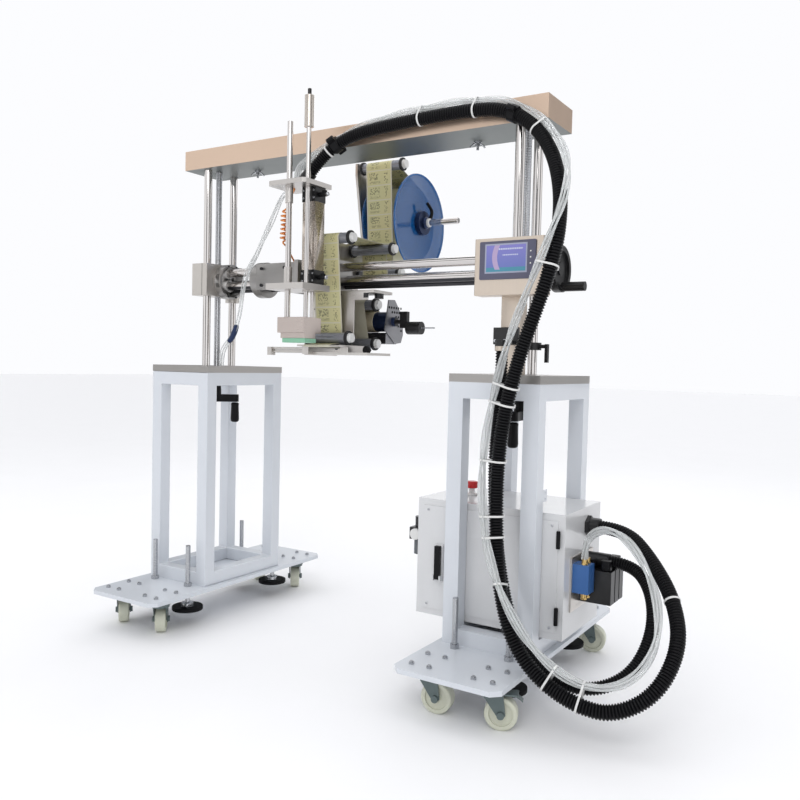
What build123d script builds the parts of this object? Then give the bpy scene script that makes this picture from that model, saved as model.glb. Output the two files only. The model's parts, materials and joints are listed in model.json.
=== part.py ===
"""Flat label applicator: a labelling head that hangs between two wheeled stands.

X runs along the cross shafts, Y from the operator to the back, Z up. The origin is on the floor,
midway between the two stands. All sizes are in millimetres.
"""

import os
from math import asin, atan2, cos, degrees, hypot, pi, radians, sin, tan

from build123d import *

os.makedirs("parts", exist_ok=True)

# Clearances between pieces
running_fit = 0.05
loose_fit = 0.5
air_gap = 0.3

# Casters and levelling feet
caster_height = 103
caster_across = 80
caster_along = 307
caster_bolt_x = 47
caster_bolt_y = 75
caster_bolt = 8
caster_plate_thick = 3
caster_plate_margin = 12
raceway_radius = 28
raceway_height = 12
king_pin_radius = 9
wheel_radius = 37.5
wheel_width = 30
wheel_edge = 4
trail = 26
cheek_thick = 3
axle_radius = 5
foot_across = 72
foot_along = 194
foot_radius = 46
foot_thick = 11
foot_ground_gap = 45
stud_diameter = 14
stud_top = 240

# Stands
stand_offset = 532
base_width = 272
base_length = 774
base_corner = 20
plate_thick = 12
frame_width = 240
frame_depth = 340
frame_height = 651
tube = 40
tube_wall = 2.5
top_plate_thick = 20
bearing_radius = 55
bearing_height = 40

# Vertical guides and beam
column_height = 618
guide_radius = 12.5
guide_shift = 2
guide_spread = 57.5
lift_screw_radius = 10
lift_screw_y = -10
beam_length = 1228
beam_depth = 160
beam_height = 60
beam_wall = 4
boss_radius = 22
boss_height = 22
crank_radius = 60
crank_hub_radius = 16
crank_hub_height = 56
crank_arm_thick = 24
crank_grip_radius = 14
crank_grip_length = 66

# Lift carriage
carriage_lift = 222
block_width = 64
block_height = 101
block_inner = 513
lock_collar_radius = 23
lock_collar_height = 15
stop_collar_top = 84
flange_radius = 55
flange_length = 28
flange_wall = 8
flange_y = 5
cross_rise = 48
shaft_radius = 12.5
upper_rise = 27
lower_drop = 14
tie_y = 24
tie_drop = 27
tie_radius = 7.5
shaft_seat = 6
traverse_y = 36
traverse_radius = 7
handwheel_radius = 59
handwheel_thick = 20
handwheel_gap = 22
handwheel_grip_radius = 12
handwheel_grip_length = 60
handwheel_grip_reach = 45

# Labelling head
side_left = -133
side_thick = 8
slide_right = -48
slide_front = -42
slide_back = 56
slide_drop = 44
slide_rise = 49
back_plate_left = -332
back_plate_thick = 10
back_plate_drop = 35
head_flange_thick = 30
shelf_thick = 8
shelf_right = 95
cover_right = 28
cover_wide_right = 75
cover_bottom_drop = 186
cover_thick = 4
arm_thick = 8

# Label web, rollers and reel
web_left = -100
web_width = 94
web_thick = 0.6
roller_radius = 15
roller_collar_radius = 20
roller_cap_radius = 13
roller_pin_radius = 5
roller_right = 30
roller_collar = 8
reel_y = 340
reel_rise = 204
reel_flange_radius = 157.5
label_roll_radius = 118
core_radius = 38
spindle_radius = 10
rewind_y = 135
rewind_drop = 124
rewind_radius = 30
liner_radius = 32
peel_edge_y = -104
peel_top_drop = 201
peel_thick = 5
peel_rod_left = -240
peel_stop_left = -256
rewind_lever_right = 102
rewind_grip_right = 150
rewind_rod_right = 194
spindle_right = 153

# Tamp unit
tamp_left = -149
tamp_front = -215
tamp_back = -95
tamp_plate_width = 131
tamp_lower_drop = 53
tamp_lower_thick = 17
tamp_upper_rise = 231
tamp_upper_thick = 13
cylinder_x = -50
cylinder_y = -133
cylinder_side = 46
cylinder_bore = 32
cap_height = 40
tube_relief = 1.5
rod_a = (-95, -185)
rod_a_radius = 8
rod_b = (-42, -170)
rod_b_radius = 6.5
piston_rod_radius = 6
bush_radius = 11
bush_height = 46
tamp_block_drop = 128
tamp_block_height = 43
tamp_neck_height = 15
pad_height = 12
tamp_block_x = (-122, -28)
tamp_block_y = (-195, -118)
tamp_neck_x = (-114, -28)
tamp_neck_y = (-190, -142)
pad_x = (-106, -26)
pad_y = (-192, -142)

# Operator panel
panel_width = 177
panel_height = 135
panel_depth = 47
panel_left = 476
panel_lift = 188
bezel_width = 144
bezel_height = 90
bezel_thick = 4
column_width = 50
column_depth = 40
column_left = 528
column_front = -128
column_length = 314

# Cabinet and its fittings
cabinet_width = 400
cabinet_depth = 250
cabinet_height = 300
cabinet_left = 308
cabinet_foot = 7
sheet = 2
door_margin = 17
door_thick = 3
handle_left = 364
handle_width = 24
handle_length = 95
handle_lift = 100
estop_x = 400
estop_y = -5
estop_radius = 16.5
estop_cap_height = 18
estop_stem_height = 20

# Hoses
hose_radius = 17
second_hose_radius = 15
bundle_radius = 8
left_bundle_radius = 6

# Levels and places that follow from the sizes above
base_top = caster_height + plate_thick
frame_top = base_top + frame_height
deck = frame_top + top_plate_thick
beam_bottom = deck + column_height
block_bottom = deck + carriage_lift
block_top = block_bottom + block_height
cross_z = block_bottom + cross_rise
block_outer = block_inner + block_width
guide_x = stand_offset + guide_shift
sides = (-1, 1)
stand_points = [(side * stand_offset, 0) for side in sides]
guide_points = [(side * guide_x, end * guide_spread) for side in sides for end in (-1, 1)]
screw_points = [(side * guide_x, lift_screw_y) for side in sides]
caster_points = [
    (side * stand_offset + across * caster_across, end * caster_along)
    for side in sides
    for end in (-1, 1)
    for across in (-1, 1)
]


def foot_points(side):
    """The four levelling studs of one stand, as X, Y points."""
    return [
        (side * stand_offset + across * foot_across, end * foot_along)
        for end in (-1, 1)
        for across in (-1, 1)
    ]


def block(x, y, z, mode=Mode.ADD):
    """Upright box between a low and a high value on each axis."""
    spans = (x, y, z)
    middle = [(low + high) / 2 for low, high in spans]
    with Locations(tuple(middle)):
        Box(*[high - low for low, high in spans], mode=mode)


def bar(axis, centre, span, radius, mode=Mode.ADD):
    """Round bar along an axis, between the two values of span, at the other two values of centre."""
    low, high = span
    origin = {"X": (low, *centre), "Y": (centre[0], low, centre[1]), "Z": (*centre, low)}[axis]
    direction = {"X": (1, 0, 0), "Y": (0, 1, 0), "Z": (0, 0, 1)}[axis]
    with BuildSketch(Plane(origin=origin, z_dir=direction)) as disc:
        Circle(radius)
    extrude(disc.sketch, amount=high - low, mode=mode)


def upright_plate(points, span, mode=Mode.ADD):
    """Plate across X between the two values of span, with its outline given as Y, Z points."""
    low, high = span
    with BuildSketch(Plane.YZ.offset(low)) as outline:
        Polygon(*points, align=None)
    extrude(outline.sketch, amount=high - low, mode=mode)


# Base plates with the nuts of the levelling studs
with BuildPart() as base_plates:
    with BuildSketch(Plane.XY.offset(caster_height)) as base_outline:
        with Locations(*stand_points):
            Rectangle(base_width, base_length)
        chamfer(base_outline.vertices(), length=base_corner)
    extrude(amount=plate_thick)
    with BuildSketch(Plane.XY.offset(base_top)):
        with Locations(*foot_points(-1), *foot_points(1)):
            RegularPolygon(stud_diameter * 0.86, 6)
    extrude(amount=stud_diameter * 0.8)
    with Locations(*[(x, y, base_top) for x, y in caster_points]):
        with GridLocations(caster_bolt_x, caster_bolt_y, 2, 2):
            Hole(caster_bolt / 2 + loose_fit, plate_thick)
    stud_hole = stud_diameter / 2 + running_fit
    for x, y in foot_points(-1) + foot_points(1):
        bar("Z", (x, y), (caster_height, base_top + stud_diameter), stud_hole, Mode.SUBTRACT)
base_plates.part.label = "base_plates"

# Fixed halves of the casters: top plate, raceway and the four bolts of each
mount_bottom = caster_height - caster_plate_thick
raceway_bottom = mount_bottom - raceway_height
with BuildPart() as caster_mounts:
    for x, y in caster_points:
        reach_x = caster_bolt_x / 2 + caster_plate_margin
        reach_y = caster_bolt_y / 2 + caster_plate_margin
        block((x - reach_x, x + reach_x), (y - reach_y, y + reach_y), (mount_bottom, caster_height))
        bar("Z", (x, y), (raceway_bottom, mount_bottom), raceway_radius)
    with Locations(*[(x, y, mount_bottom) for x, y in caster_points]):
        with GridLocations(caster_bolt_x, caster_bolt_y, 2, 2):
            Cylinder(
                caster_bolt / 2,
                caster_plate_thick + plate_thick + caster_bolt,
                align=(Align.CENTER, Align.CENTER, Align.MIN),
            )
    with Locations(*[(x, y, base_top) for x, y in caster_points]):
        with GridLocations(caster_bolt_x, caster_bolt_y, 2, 2):
            Cylinder(caster_bolt * 0.8, caster_bolt * 0.7, align=(Align.CENTER, Align.CENTER, Align.MIN))
    for x, y in caster_points:
        bar("Z", (x, y), (raceway_bottom, mount_bottom), king_pin_radius + running_fit, Mode.SUBTRACT)
caster_mounts.part.label = "caster_mounts"


def caster_fork(name, point, heading, braked):
    """Turning fork of one caster, with its king pin and axle, the wheel trailing along heading."""
    crown_top = raceway_bottom - air_gap
    crown_thick = cheek_thick * 2
    crown_bottom = crown_top - crown_thick
    inner = wheel_width / 2 + 2 * air_gap + 1
    outer = inner + cheek_thick
    with BuildPart() as fork:
        bar("Z", (0, 0), (crown_bottom, crown_top), raceway_radius - 2)
        bar("Z", (0, 0), (crown_top, mount_bottom - air_gap), king_pin_radius)
        with BuildSketch(Plane.XZ.offset(-outer)) as cheek:
            with BuildLine():
                Polyline(
                    (-raceway_radius * 0.6, crown_top),
                    (raceway_radius * 0.7 + trail * 0.4, crown_top),
                    (trail + axle_radius * 2.2, wheel_radius),
                    (trail, wheel_radius - axle_radius * 2.2),
                    (trail - axle_radius * 2.2, wheel_radius),
                    (-raceway_radius * 0.6, crown_bottom),
                    close=True,
                )
            make_face()
        extrude(cheek.sketch, amount=2 * outer)
        block((-raceway_radius * 2, trail * 4), (-inner, inner), (0, crown_bottom), Mode.SUBTRACT)
        bar("Y", (trail, wheel_radius), (-outer - axle_radius, outer + axle_radius), axle_radius)
        for end in sides:
            head = sorted((end * outer, end * (outer + axle_radius)))
            bar("Y", (trail, wheel_radius), head, axle_radius * 1.7)
        if braked:
            block((raceway_radius * 0.6, trail + wheel_radius), (-inner, inner), (crown_bottom - 1, crown_bottom + 3))
    fork.part = fork.part.moved(Location((*point, 0), (0, 0, heading)))
    fork.part.label = name
    return fork


def caster_wheel(name, point, heading):
    """Wheel of one caster, round its axle at the end of the trail."""
    with BuildPart() as wheel:
        bar("Y", (trail, wheel_radius), (-wheel_width / 2, wheel_width / 2), wheel_radius)
        rims = wheel.edges().filter_by(GeomType.CIRCLE)
        fillet(rims, wheel_edge)
        for end in sides:
            dish = sorted((end * wheel_width / 2, end * (wheel_width / 2 - 4)))
            bar("Y", (trail, wheel_radius), dish, wheel_radius * 0.72, Mode.SUBTRACT)
        bar("Y", (trail, wheel_radius), (-wheel_width / 2, wheel_width / 2), axle_radius * 2.2)
        bar(
            "Y",
            (trail, wheel_radius),
            (-wheel_width, wheel_width),
            axle_radius + running_fit,
            Mode.SUBTRACT,
        )
    wheel.part = wheel.part.moved(Location((*point, 0), (0, 0, heading)))
    wheel.part.label = name
    return wheel


caster_headings = (138, 132, 150, 128, 8, 20, 35, 12)
caster_names = [
    f"{side}_{end}_{across}"
    for side in ("left", "right")
    for end in ("front", "rear")
    for across in ("outer" if side == "left" else "inner", "inner" if side == "left" else "outer")
]
forks = [
    caster_fork(f"caster_fork_{name}", point, heading, name == "right_front_outer")
    for name, point, heading in zip(caster_names, caster_points, caster_headings)
]
wheels = [
    caster_wheel(f"caster_wheel_{name}", point, heading)
    for name, point, heading in zip(caster_names, caster_points, caster_headings)
]


def levelling_feet(name, side):
    """The four levelling feet of one stand, raised clear of the floor as when it rolls."""
    pad_top = foot_ground_gap + foot_thick
    with BuildPart() as feet:
        for x, y in foot_points(side):
            bar("Z", (x, y), (foot_ground_gap, pad_top), foot_radius)
            bar("Z", (x, y), (pad_top, pad_top + foot_thick), stud_diameter * 1.3)
            bar("Z", (x, y), (pad_top, stud_top), stud_diameter / 2)
    feet.part.label = name
    return feet


left_feet = levelling_feet("left_levelling_feet", -1)
right_feet = levelling_feet("right_levelling_feet", 1)


def stand_frame(name, side):
    """Welded frame of square tube: four posts, with a ring of rails at the bottom and at the top."""
    middle = side * stand_offset
    half_x = frame_width / 2
    half_y = frame_depth / 2
    levels = ((base_top, base_top + tube), (frame_top - tube, frame_top))
    with BuildPart() as frame:
        for across in sides:
            for end in sides:
                post_x = sorted((middle + across * half_x, middle + across * (half_x - tube)))
                post_y = sorted((end * half_y, end * (half_y - tube)))
                block(post_x, post_y, (base_top, frame_top))
        for z in levels:
            for end in sides:
                rail_y = sorted((end * half_y, end * (half_y - tube)))
                block((middle - half_x, middle + half_x), rail_y, z)
            for across in sides:
                rail_x = sorted((middle + across * half_x, middle + across * (half_x - tube)))
                block(rail_x, (-half_y, half_y), z)
        for across in sides:
            for end in sides:
                hollow_x = sorted(
                    (middle + across * (half_x - tube_wall), middle + across * (half_x - tube + tube_wall))
                )
                hollow_y = sorted((end * (half_y - tube_wall), end * (half_y - tube + tube_wall)))
                block(hollow_x, hollow_y, (base_top + tube_wall, frame_top - tube_wall), Mode.SUBTRACT)
        if side > 0:
            tab_x = (middle + half_x - 3, middle + half_x)
            tab_y = (-half_y + tube, -half_y + tube + 24)
            tab_z = (base_top + 372, base_top + 401)
            block(tab_x, tab_y, tab_z)
            for hole_z in (tab_z[0] + 7, tab_z[1] - 7):
                bar("X", (sum(tab_y) / 2, hole_z), tab_x, 2.5, Mode.SUBTRACT)
    frame.part.label = name
    return frame


left_stand_frame = stand_frame("left_stand_frame", -1)
right_stand_frame = stand_frame("right_stand_frame", 1)

# Top plates, each with the bearing housing of its lift screw underneath
with BuildPart() as top_plates:
    with BuildSketch(Plane.XY.offset(frame_top)):
        with Locations(*stand_points):
            Rectangle(frame_width, frame_depth)
    extrude(amount=top_plate_thick)
    for x, y in screw_points:
        bar("Z", (x, y), (frame_top - bearing_height, frame_top), bearing_radius)
    for x, y in screw_points:
        hole = lift_screw_radius + running_fit
        bar("Z", (x, y), (frame_top - bearing_height, deck), hole, Mode.SUBTRACT)
    for x, y in guide_points:
        bar("Z", (x, y), (frame_top, deck), guide_radius + running_fit, Mode.SUBTRACT)
top_plates.part.label = "top_plates"

# Four fixed guide shafts, seated in the top plates and in the bosses of the beam
guide_top = beam_bottom + boss_height
with BuildPart() as guide_shafts:
    for x, y in guide_points:
        bar("Z", (x, y), (frame_top, guide_top), guide_radius)
guide_shafts.part.label = "guide_shafts"

# Clamped stop collar on the right rear shaft: the lower end of the lift
with BuildPart() as stop_collar:
    stop_z = (deck + stop_collar_top - lock_collar_height * 1.3, deck + stop_collar_top)
    stop_mid = sum(stop_z) / 2
    bar("Z", (guide_x, guide_spread), stop_z, lock_collar_radius)
    bar("X", (guide_spread - 3, stop_mid), (guide_x + lock_collar_radius - 3, guide_x + lock_collar_radius + 14), 5)
    lever_x = (guide_x + lock_collar_radius + 14, guide_x + lock_collar_radius + 22)
    block(lever_x, (guide_spread - 9, guide_spread + 3), (stop_mid - 42, stop_mid + 6))
    bar("Z", (guide_x, guide_spread), stop_z, guide_radius + running_fit, Mode.SUBTRACT)
stop_collar.part.label = "stop_collar"

# Cross beam: a closed box, with sockets for the shafts and the lift screws inside it
with BuildPart() as cross_beam:
    half_length = beam_length / 2
    half_beam = beam_depth / 2
    block((-half_length, half_length), (-half_beam, half_beam), (beam_bottom, beam_bottom + beam_height))
    block(
        (-half_length + beam_wall, half_length - beam_wall),
        (-half_beam + beam_wall, half_beam - beam_wall),
        (beam_bottom + beam_wall, beam_bottom + beam_height - beam_wall),
        Mode.SUBTRACT,
    )
    for x, y in guide_points:
        bar("Z", (x, y), (beam_bottom, guide_top + beam_wall), boss_radius)
    for x, y in screw_points:
        bar("Z", (x, y), (beam_bottom, guide_top + beam_wall), boss_radius * 0.8)
    for x, y in guide_points:
        bar("Z", (x, y), (beam_bottom, guide_top), guide_radius + running_fit, Mode.SUBTRACT)
    for x, y in screw_points:
        bar("Z", (x, y), (beam_bottom, guide_top), lift_screw_radius + running_fit, Mode.SUBTRACT)
cross_beam.part.label = "cross_beam"


def lift_screw(name, side, heading):
    """Lift screw of one stand, from its crank under the top plate to its socket in the beam."""
    x, y = side * guide_x, lift_screw_y
    hub_top = frame_top - bearing_height - air_gap
    hub_bottom = hub_top - crank_hub_height
    arm_bottom = hub_bottom
    arm_top = arm_bottom + crank_arm_thick
    turn = radians(heading)
    grip = (x + crank_radius * cos(turn), y + crank_radius * sin(turn))
    with BuildPart() as screw:
        bar("Z", (x, y), (hub_bottom, guide_top - air_gap), lift_screw_radius)
        bar("Z", (x, y), (hub_bottom, hub_top), crank_hub_radius)
        with BuildSketch(Plane.XY.offset(arm_bottom)) as arm:
            with Locations(Location(((x + grip[0]) / 2, (y + grip[1]) / 2, 0), (0, 0, heading))):
                SlotCenterToCenter(crank_radius, 2 * crank_hub_radius * 0.75)
        extrude(arm.sketch, amount=crank_arm_thick)
        bar("Z", grip, (arm_bottom - crank_grip_length, arm_top), crank_grip_radius * 0.5)
        bar("Z", grip, (arm_bottom - crank_grip_length, arm_bottom - 2), crank_grip_radius)
    screw.part.label = name
    return screw


left_lift_screw = lift_screw("left_lift_screw", -1, 45)
right_lift_screw = lift_screw("right_lift_screw", 1, -82)

# Carriage blocks that ride on the guide shafts, each with a collar under its rear bore
cross_shaft_points = [(0, cross_z + upper_rise), (0, cross_z - lower_drop), (tie_y, cross_z - tie_drop)]
cross_shaft_radii = [shaft_radius, shaft_radius, tie_radius]
shaft_end = block_inner + shaft_seat
with BuildPart() as carriage_blocks:
    for side in sides:
        across = sorted((side * block_inner, side * block_outer))
        block(across, (-half_beam, half_beam), (block_bottom, block_top))
        collar = (block_bottom - lock_collar_height, block_bottom)
        bar("Z", (side * guide_x, guide_spread), collar, lock_collar_radius)
    for x, y in guide_points:
        bore = (block_bottom - lock_collar_height, block_top)
        bar("Z", (x, y), bore, guide_radius + running_fit, Mode.SUBTRACT)
    for x, y in screw_points:
        bar("Z", (x, y), (block_bottom, block_top), lift_screw_radius + running_fit, Mode.SUBTRACT)
    for point, radius in zip(cross_shaft_points, cross_shaft_radii):
        bar("X", point, (-shaft_end, shaft_end), radius + running_fit, Mode.SUBTRACT)
    screw_hole = (traverse_y, cross_z)
    bar("X", screw_hole, (-shaft_end, block_outer), traverse_radius + running_fit, Mode.SUBTRACT)
carriage_blocks.part.label = "carriage_blocks"

# Two chromed cross shafts and the dark tie rod below them
with BuildPart() as cross_shafts:
    for point, radius in zip(cross_shaft_points, cross_shaft_radii):
        bar("X", point, (-shaft_end, shaft_end), radius)
cross_shafts.part.label = "cross_shafts"

# Round clamp flanges on the inner faces of the blocks, open towards the head
clamp_radius = shaft_radius + 7
clamp_length = flange_length - flange_wall - 4
with BuildPart() as round_flanges:
    for side in sides:
        face = side * block_inner
        nose = side * (block_inner - flange_length)
        floor = side * (block_inner - flange_wall)
        bar("X", (flange_y, cross_z), sorted((face, nose)), flange_radius)
        bar("X", (flange_y, cross_z), sorted((floor, nose)), flange_radius - flange_wall, Mode.SUBTRACT)
        window_x = sorted((floor, side * (block_inner - flange_length + 5)))
        window_y = (flange_y - flange_radius, flange_y - flange_radius * 0.6)
        block(window_x, window_y, (cross_z - 22, cross_z + 22), Mode.SUBTRACT)
        for point in cross_shaft_points[:2]:
            bar("X", point, sorted((floor, side * (block_inner - flange_wall - clamp_length))), clamp_radius)
    for point, radius in zip(cross_shaft_points, cross_shaft_radii):
        bar("X", point, (-block_inner, block_inner), radius + running_fit, Mode.SUBTRACT)
    bar("X", (traverse_y, cross_z), (-block_inner, block_inner), traverse_radius + loose_fit, Mode.SUBTRACT)
round_flanges.part.label = "round_flanges"

# Traverse screw with the handwheel outside the right block
wheel_inner = block_outer + handwheel_gap
with BuildPart() as traverse_screw:
    axis_point = (traverse_y, cross_z)
    bar("X", axis_point, (-shaft_end, wheel_inner + handwheel_thick), traverse_radius)
    rim = (wheel_inner, wheel_inner + handwheel_thick)
    bar("X", axis_point, rim, handwheel_radius)
    bar("X", axis_point, rim, handwheel_radius - 13, Mode.SUBTRACT)
    bar("X", axis_point, (block_outer + air_gap, wheel_inner + handwheel_thick * 0.8), traverse_radius * 2.4)
    web_plate = (wheel_inner + 5, wheel_inner + 12)
    bar("X", axis_point, web_plate, handwheel_radius - 12)
    grip_point = (traverse_y, cross_z - handwheel_grip_reach)
    grip_end = wheel_inner + handwheel_thick + handwheel_grip_length
    bar("X", grip_point, (wheel_inner + 5, grip_end), handwheel_grip_radius * 0.5)
    bar("X", grip_point, (wheel_inner + handwheel_thick, grip_end), handwheel_grip_radius)
traverse_screw.part.label = "traverse_screw"

# Slide block, back plate and left flange of the head
side_right = side_left + side_thick
slide_bottom = cross_z - slide_drop
slide_top = cross_z + slide_rise
shaft_bores = list(zip(cross_shaft_points, cross_shaft_radii)) + [((traverse_y, cross_z), traverse_radius)]
with BuildPart() as head_slide_block:
    block((side_right, slide_right), (slide_front, slide_back), (slide_bottom, slide_top))
    for point, radius in shaft_bores:
        bar("X", point, (side_right, slide_right), radius + running_fit, Mode.SUBTRACT)
head_slide_block.part.label = "head_slide_block"

bracket_x = (tamp_left, side_left - 1)
back_plate_front = slide_front - back_plate_thick
with BuildPart() as head_back_plate:
    back_plate_z = (cross_z - back_plate_drop, slide_top - back_plate_drop / 7)
    block((back_plate_left, slide_right), (back_plate_front, slide_front), back_plate_z)
    flange_x = (back_plate_left - head_flange_thick, back_plate_left)
    bar("X", (flange_y, cross_z), flange_x, flange_radius)
    block(bracket_x, (tamp_back, back_plate_front), (cross_z - tamp_lower_drop, back_plate_z[1]))
    for point, radius in shaft_bores:
        bar("X", point, flange_x, radius + running_fit, Mode.SUBTRACT)
head_back_plate.part.label = "head_back_plate"

# Rollers of the label web as Y, height over the cross shafts' middle, and turn
# The turn is 1 where the web carries the roller's top towards the front, and -1 where it carries it back
roller_places = {
    "top": (206, 363, 1),
    "dancer": (200, 29, -1),
    "rear": (158, 98, 1),
    "front_upper": (-59, 102, 1),
    "front_lower": (-61, -180, -1),
    "bottom": (74, -192, 1),
    "drive": (75, -77, -1),
}
roller_points = {name: (y, cross_z + rise) for name, (y, rise, turn) in roller_places.items()}
reel_point = (reel_y, cross_z + reel_rise)
rewind_point = (rewind_y, cross_z - rewind_drop)
arm_rollers = ("top",)
peel_top = cross_z - peel_top_drop
peel_bottom = peel_top - peel_thick

# Upright side plate that carries the rollers, bolted to the slide block
side_low = peel_bottom - 24
front_upper_y, front_upper_z = roller_points["front_upper"]
front_lower_y, front_lower_z = roller_points["front_lower"]
dancer_y, dancer_z = roller_points["dancer"]
rear_y, rear_z = roller_points["rear"]
side_outline = [
    (-60, side_low),
    (90, side_low),
    (150, cross_z - 194),
    (dancer_y - 6, cross_z - 186),
    (dancer_y - 6, dancer_z - 26),
    (dancer_y + 18, dancer_z - 12),
    (dancer_y + 18, dancer_z + 14),
    (rear_y + 20, rear_z + 18),
    (front_upper_y - 16, front_upper_z + 18),
    (front_upper_y - 16, front_upper_z - 20),
    (slide_front + 4, front_upper_z - 20),
    (slide_front + 4, front_lower_z + 18),
    (front_lower_y - 16, front_lower_z + 18),
    (front_lower_y - 16, front_lower_z - 16),
    (-60, front_lower_z - 16),
]
with BuildPart() as head_side_plate:
    upright_plate(side_outline, (side_left, side_right))
    for point, radius in shaft_bores:
        bar("X", point, (side_left, side_right), radius + 2, Mode.SUBTRACT)
    for name, point in roller_points.items():
        if name not in arm_rollers:
            bar("X", point, (side_left, side_right), roller_pin_radius + running_fit, Mode.SUBTRACT)
    bar("X", rewind_point, (side_left, side_right), spindle_radius + running_fit, Mode.SUBTRACT)
head_side_plate.part.label = "head_side_plate"

# Reel arm outside the side plate, with the bearing boss of the reel
arm_left = side_left - arm_thick
top_y, top_z = roller_points["top"]
boss_left = arm_left - 48
arm_outline = [
    (rear_y - 48, rear_z - 42),
    (reel_y - 110, rear_z - 30),
    (reel_y - 5, rear_z + 44),
    (reel_y + 32, reel_point[1] - 22),
    (reel_y + 28, reel_point[1] + 30),
    (top_y + 34, top_z + 12),
    (top_y + 16, top_z + 21),
    (top_y - 16, top_z + 15),
    (top_y - 16, top_z - 20),
    (top_y + 22, rear_z + 46),
    (rear_y - 48, rear_z + 12),
]
with BuildPart() as reel_arm:
    upright_plate(arm_outline, (arm_left, side_left))
    bar("X", reel_point, (boss_left, arm_left), spindle_radius * 2.5)
    bar("X", reel_point, (boss_left, side_left), spindle_radius + running_fit, Mode.SUBTRACT)
    for name in ("top", "rear"):
        bar("X", roller_points[name], (arm_left, side_left), roller_pin_radius + running_fit, Mode.SUBTRACT)
reel_arm.part.label = "reel_arm"


def web_roller(name, point, left):
    """Idle roller on its own pin, with a collar at each end and a cap on the right."""
    body_left = side_right + 2
    with BuildPart() as roller:
        bar("X", point, (left, roller_right), roller_pin_radius)
        bar("X", point, (body_left, body_left + roller_collar), roller_collar_radius)
        bar("X", point, (body_left, roller_right), roller_radius)
        bar("X", point, (roller_right - roller_collar, roller_right), roller_collar_radius)
        bar("X", point, (roller_right, roller_right + 10), roller_cap_radius)
    roller.part.label = f"roller_{name}"
    return roller


rollers = [
    web_roller(name, point, arm_left if name in ("top", "rear") else side_left)
    for name, point in roller_points.items()
]

# Shelf under the slide block and the front cover that hangs from it
shelf_top = slide_bottom
shelf_bottom = shelf_top - shelf_thick
cover_front = slide_front + 2
with BuildPart() as cover_plate:
    block((side_right, shelf_right), (cover_front, slide_back), (shelf_bottom, shelf_top))
    cover_y = (cover_front, cover_front + cover_thick)
    block((side_right, cover_right), cover_y, (cross_z - cover_bottom_drop, shelf_bottom))
    block((side_right, cover_wide_right), cover_y, (shelf_bottom - 20, shelf_bottom))
    bar("Z", (shelf_right - 14, 8), (shelf_bottom - 14, shelf_bottom), 13)
    bar("X", roller_points["drive"], (side_right, cover_right), roller_collar_radius, Mode.SUBTRACT)
cover_plate.part.label = "cover_plate"

# Peel bed: the peel plate over two bars, and the cross rods that reach out to the left
bed_right = cover_right - 3
rod_y = -72
with BuildPart() as peel_bed:
    block((side_right, bed_right), (peel_edge_y, 20), (peel_bottom, peel_top))
    front_edges = peel_bed.edges().filter_by(Axis.X).sort_by(Axis.Y)[:2]
    fillet(front_edges, peel_thick * 0.49)
    bar_z = (peel_bottom - 15, peel_bottom)
    block((side_right, web_left - 2), (-60, 50), bar_z)
    block((web_left + web_width + 3, bed_right), (-60, 50), bar_z)
    block((side_right, shelf_right - 5), (-60, 60), (peel_bottom - 22, peel_bottom - 15))
    for step in (0, 9):
        bar("X", (rod_y, peel_bottom - 15 + step), (peel_rod_left, side_right + 20), 4)
    block((side_right, web_left - 2), (rod_y - 8, -60), (peel_bottom - 22, peel_bottom))
    block((peel_stop_left, peel_rod_left), (rod_y - 10, rod_y + 8), (peel_bottom - 26, peel_bottom - 2))
peel_bed.part.label = "peel_bed"

# Rewinder: drum with wound liner, clamp lever and hand grip
rewind_plate_left = roller_right + 15
rewind_plate_right = rewind_plate_left + 4
with BuildPart() as rewinder:
    rewind_end = rewind_plate_right + 12
    bar("X", rewind_point, (side_left, rewind_end), spindle_radius)
    bar("X", rewind_point, (side_right + 3, roller_right + 10), rewind_radius)
    bar("X", rewind_point, (web_left, web_left + web_width), liner_radius)
    bar("X", rewind_point, (rewind_plate_right + air_gap, rewind_end), spindle_radius * 1.4)
    bar("X", rewind_point, (rewind_end, rewind_lever_right), 6)
    block(
        (rewind_end + 16, rewind_lever_right),
        (rewind_y - 8, rewind_y + 8),
        (rewind_point[1] - 19, rewind_point[1] + 30),
    )
    grip_z = rewind_point[1] - 19
    bar("X", (rewind_y, grip_z), (rewind_lever_right, rewind_grip_right), 19)
    bar("X", (rewind_y, grip_z), (rewind_grip_right, rewind_rod_right), 2)
rewinder.part.label = "rewinder"

# Outboard plate of the rewinder, its two spacers and the drive motor under the drum
spacer_points = [(172, cross_z - 106), (176, cross_z - 172)]
plate_outline = [
    (110, cross_z - 60),
    (143, cross_z - 58),
    (191, cross_z - 109),
    (193, cross_z - 161),
    (182, cross_z - 186),
    (149, cross_z - 190),
    (92, cross_z - 150),
]
with BuildPart() as rewinder_plate:
    upright_plate(plate_outline, (rewind_plate_left, rewind_plate_right))
    for spacer in spacer_points:
        bar("X", spacer, (side_right, rewind_plate_left), 6)
    bar(
        "X",
        rewind_point,
        (rewind_plate_left, rewind_plate_right),
        spindle_radius + running_fit,
        Mode.SUBTRACT,
    )
rewinder_plate.part.label = "rewinder_plate"

with BuildPart() as drive_motor:
    motor_z = (rewind_point[1] - rewind_radius - 37, rewind_point[1] - rewind_radius - 4)
    block((side_right, rewind_plate_left), (102, 160), motor_z)
drive_motor.part.label = "drive_motor"

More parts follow.
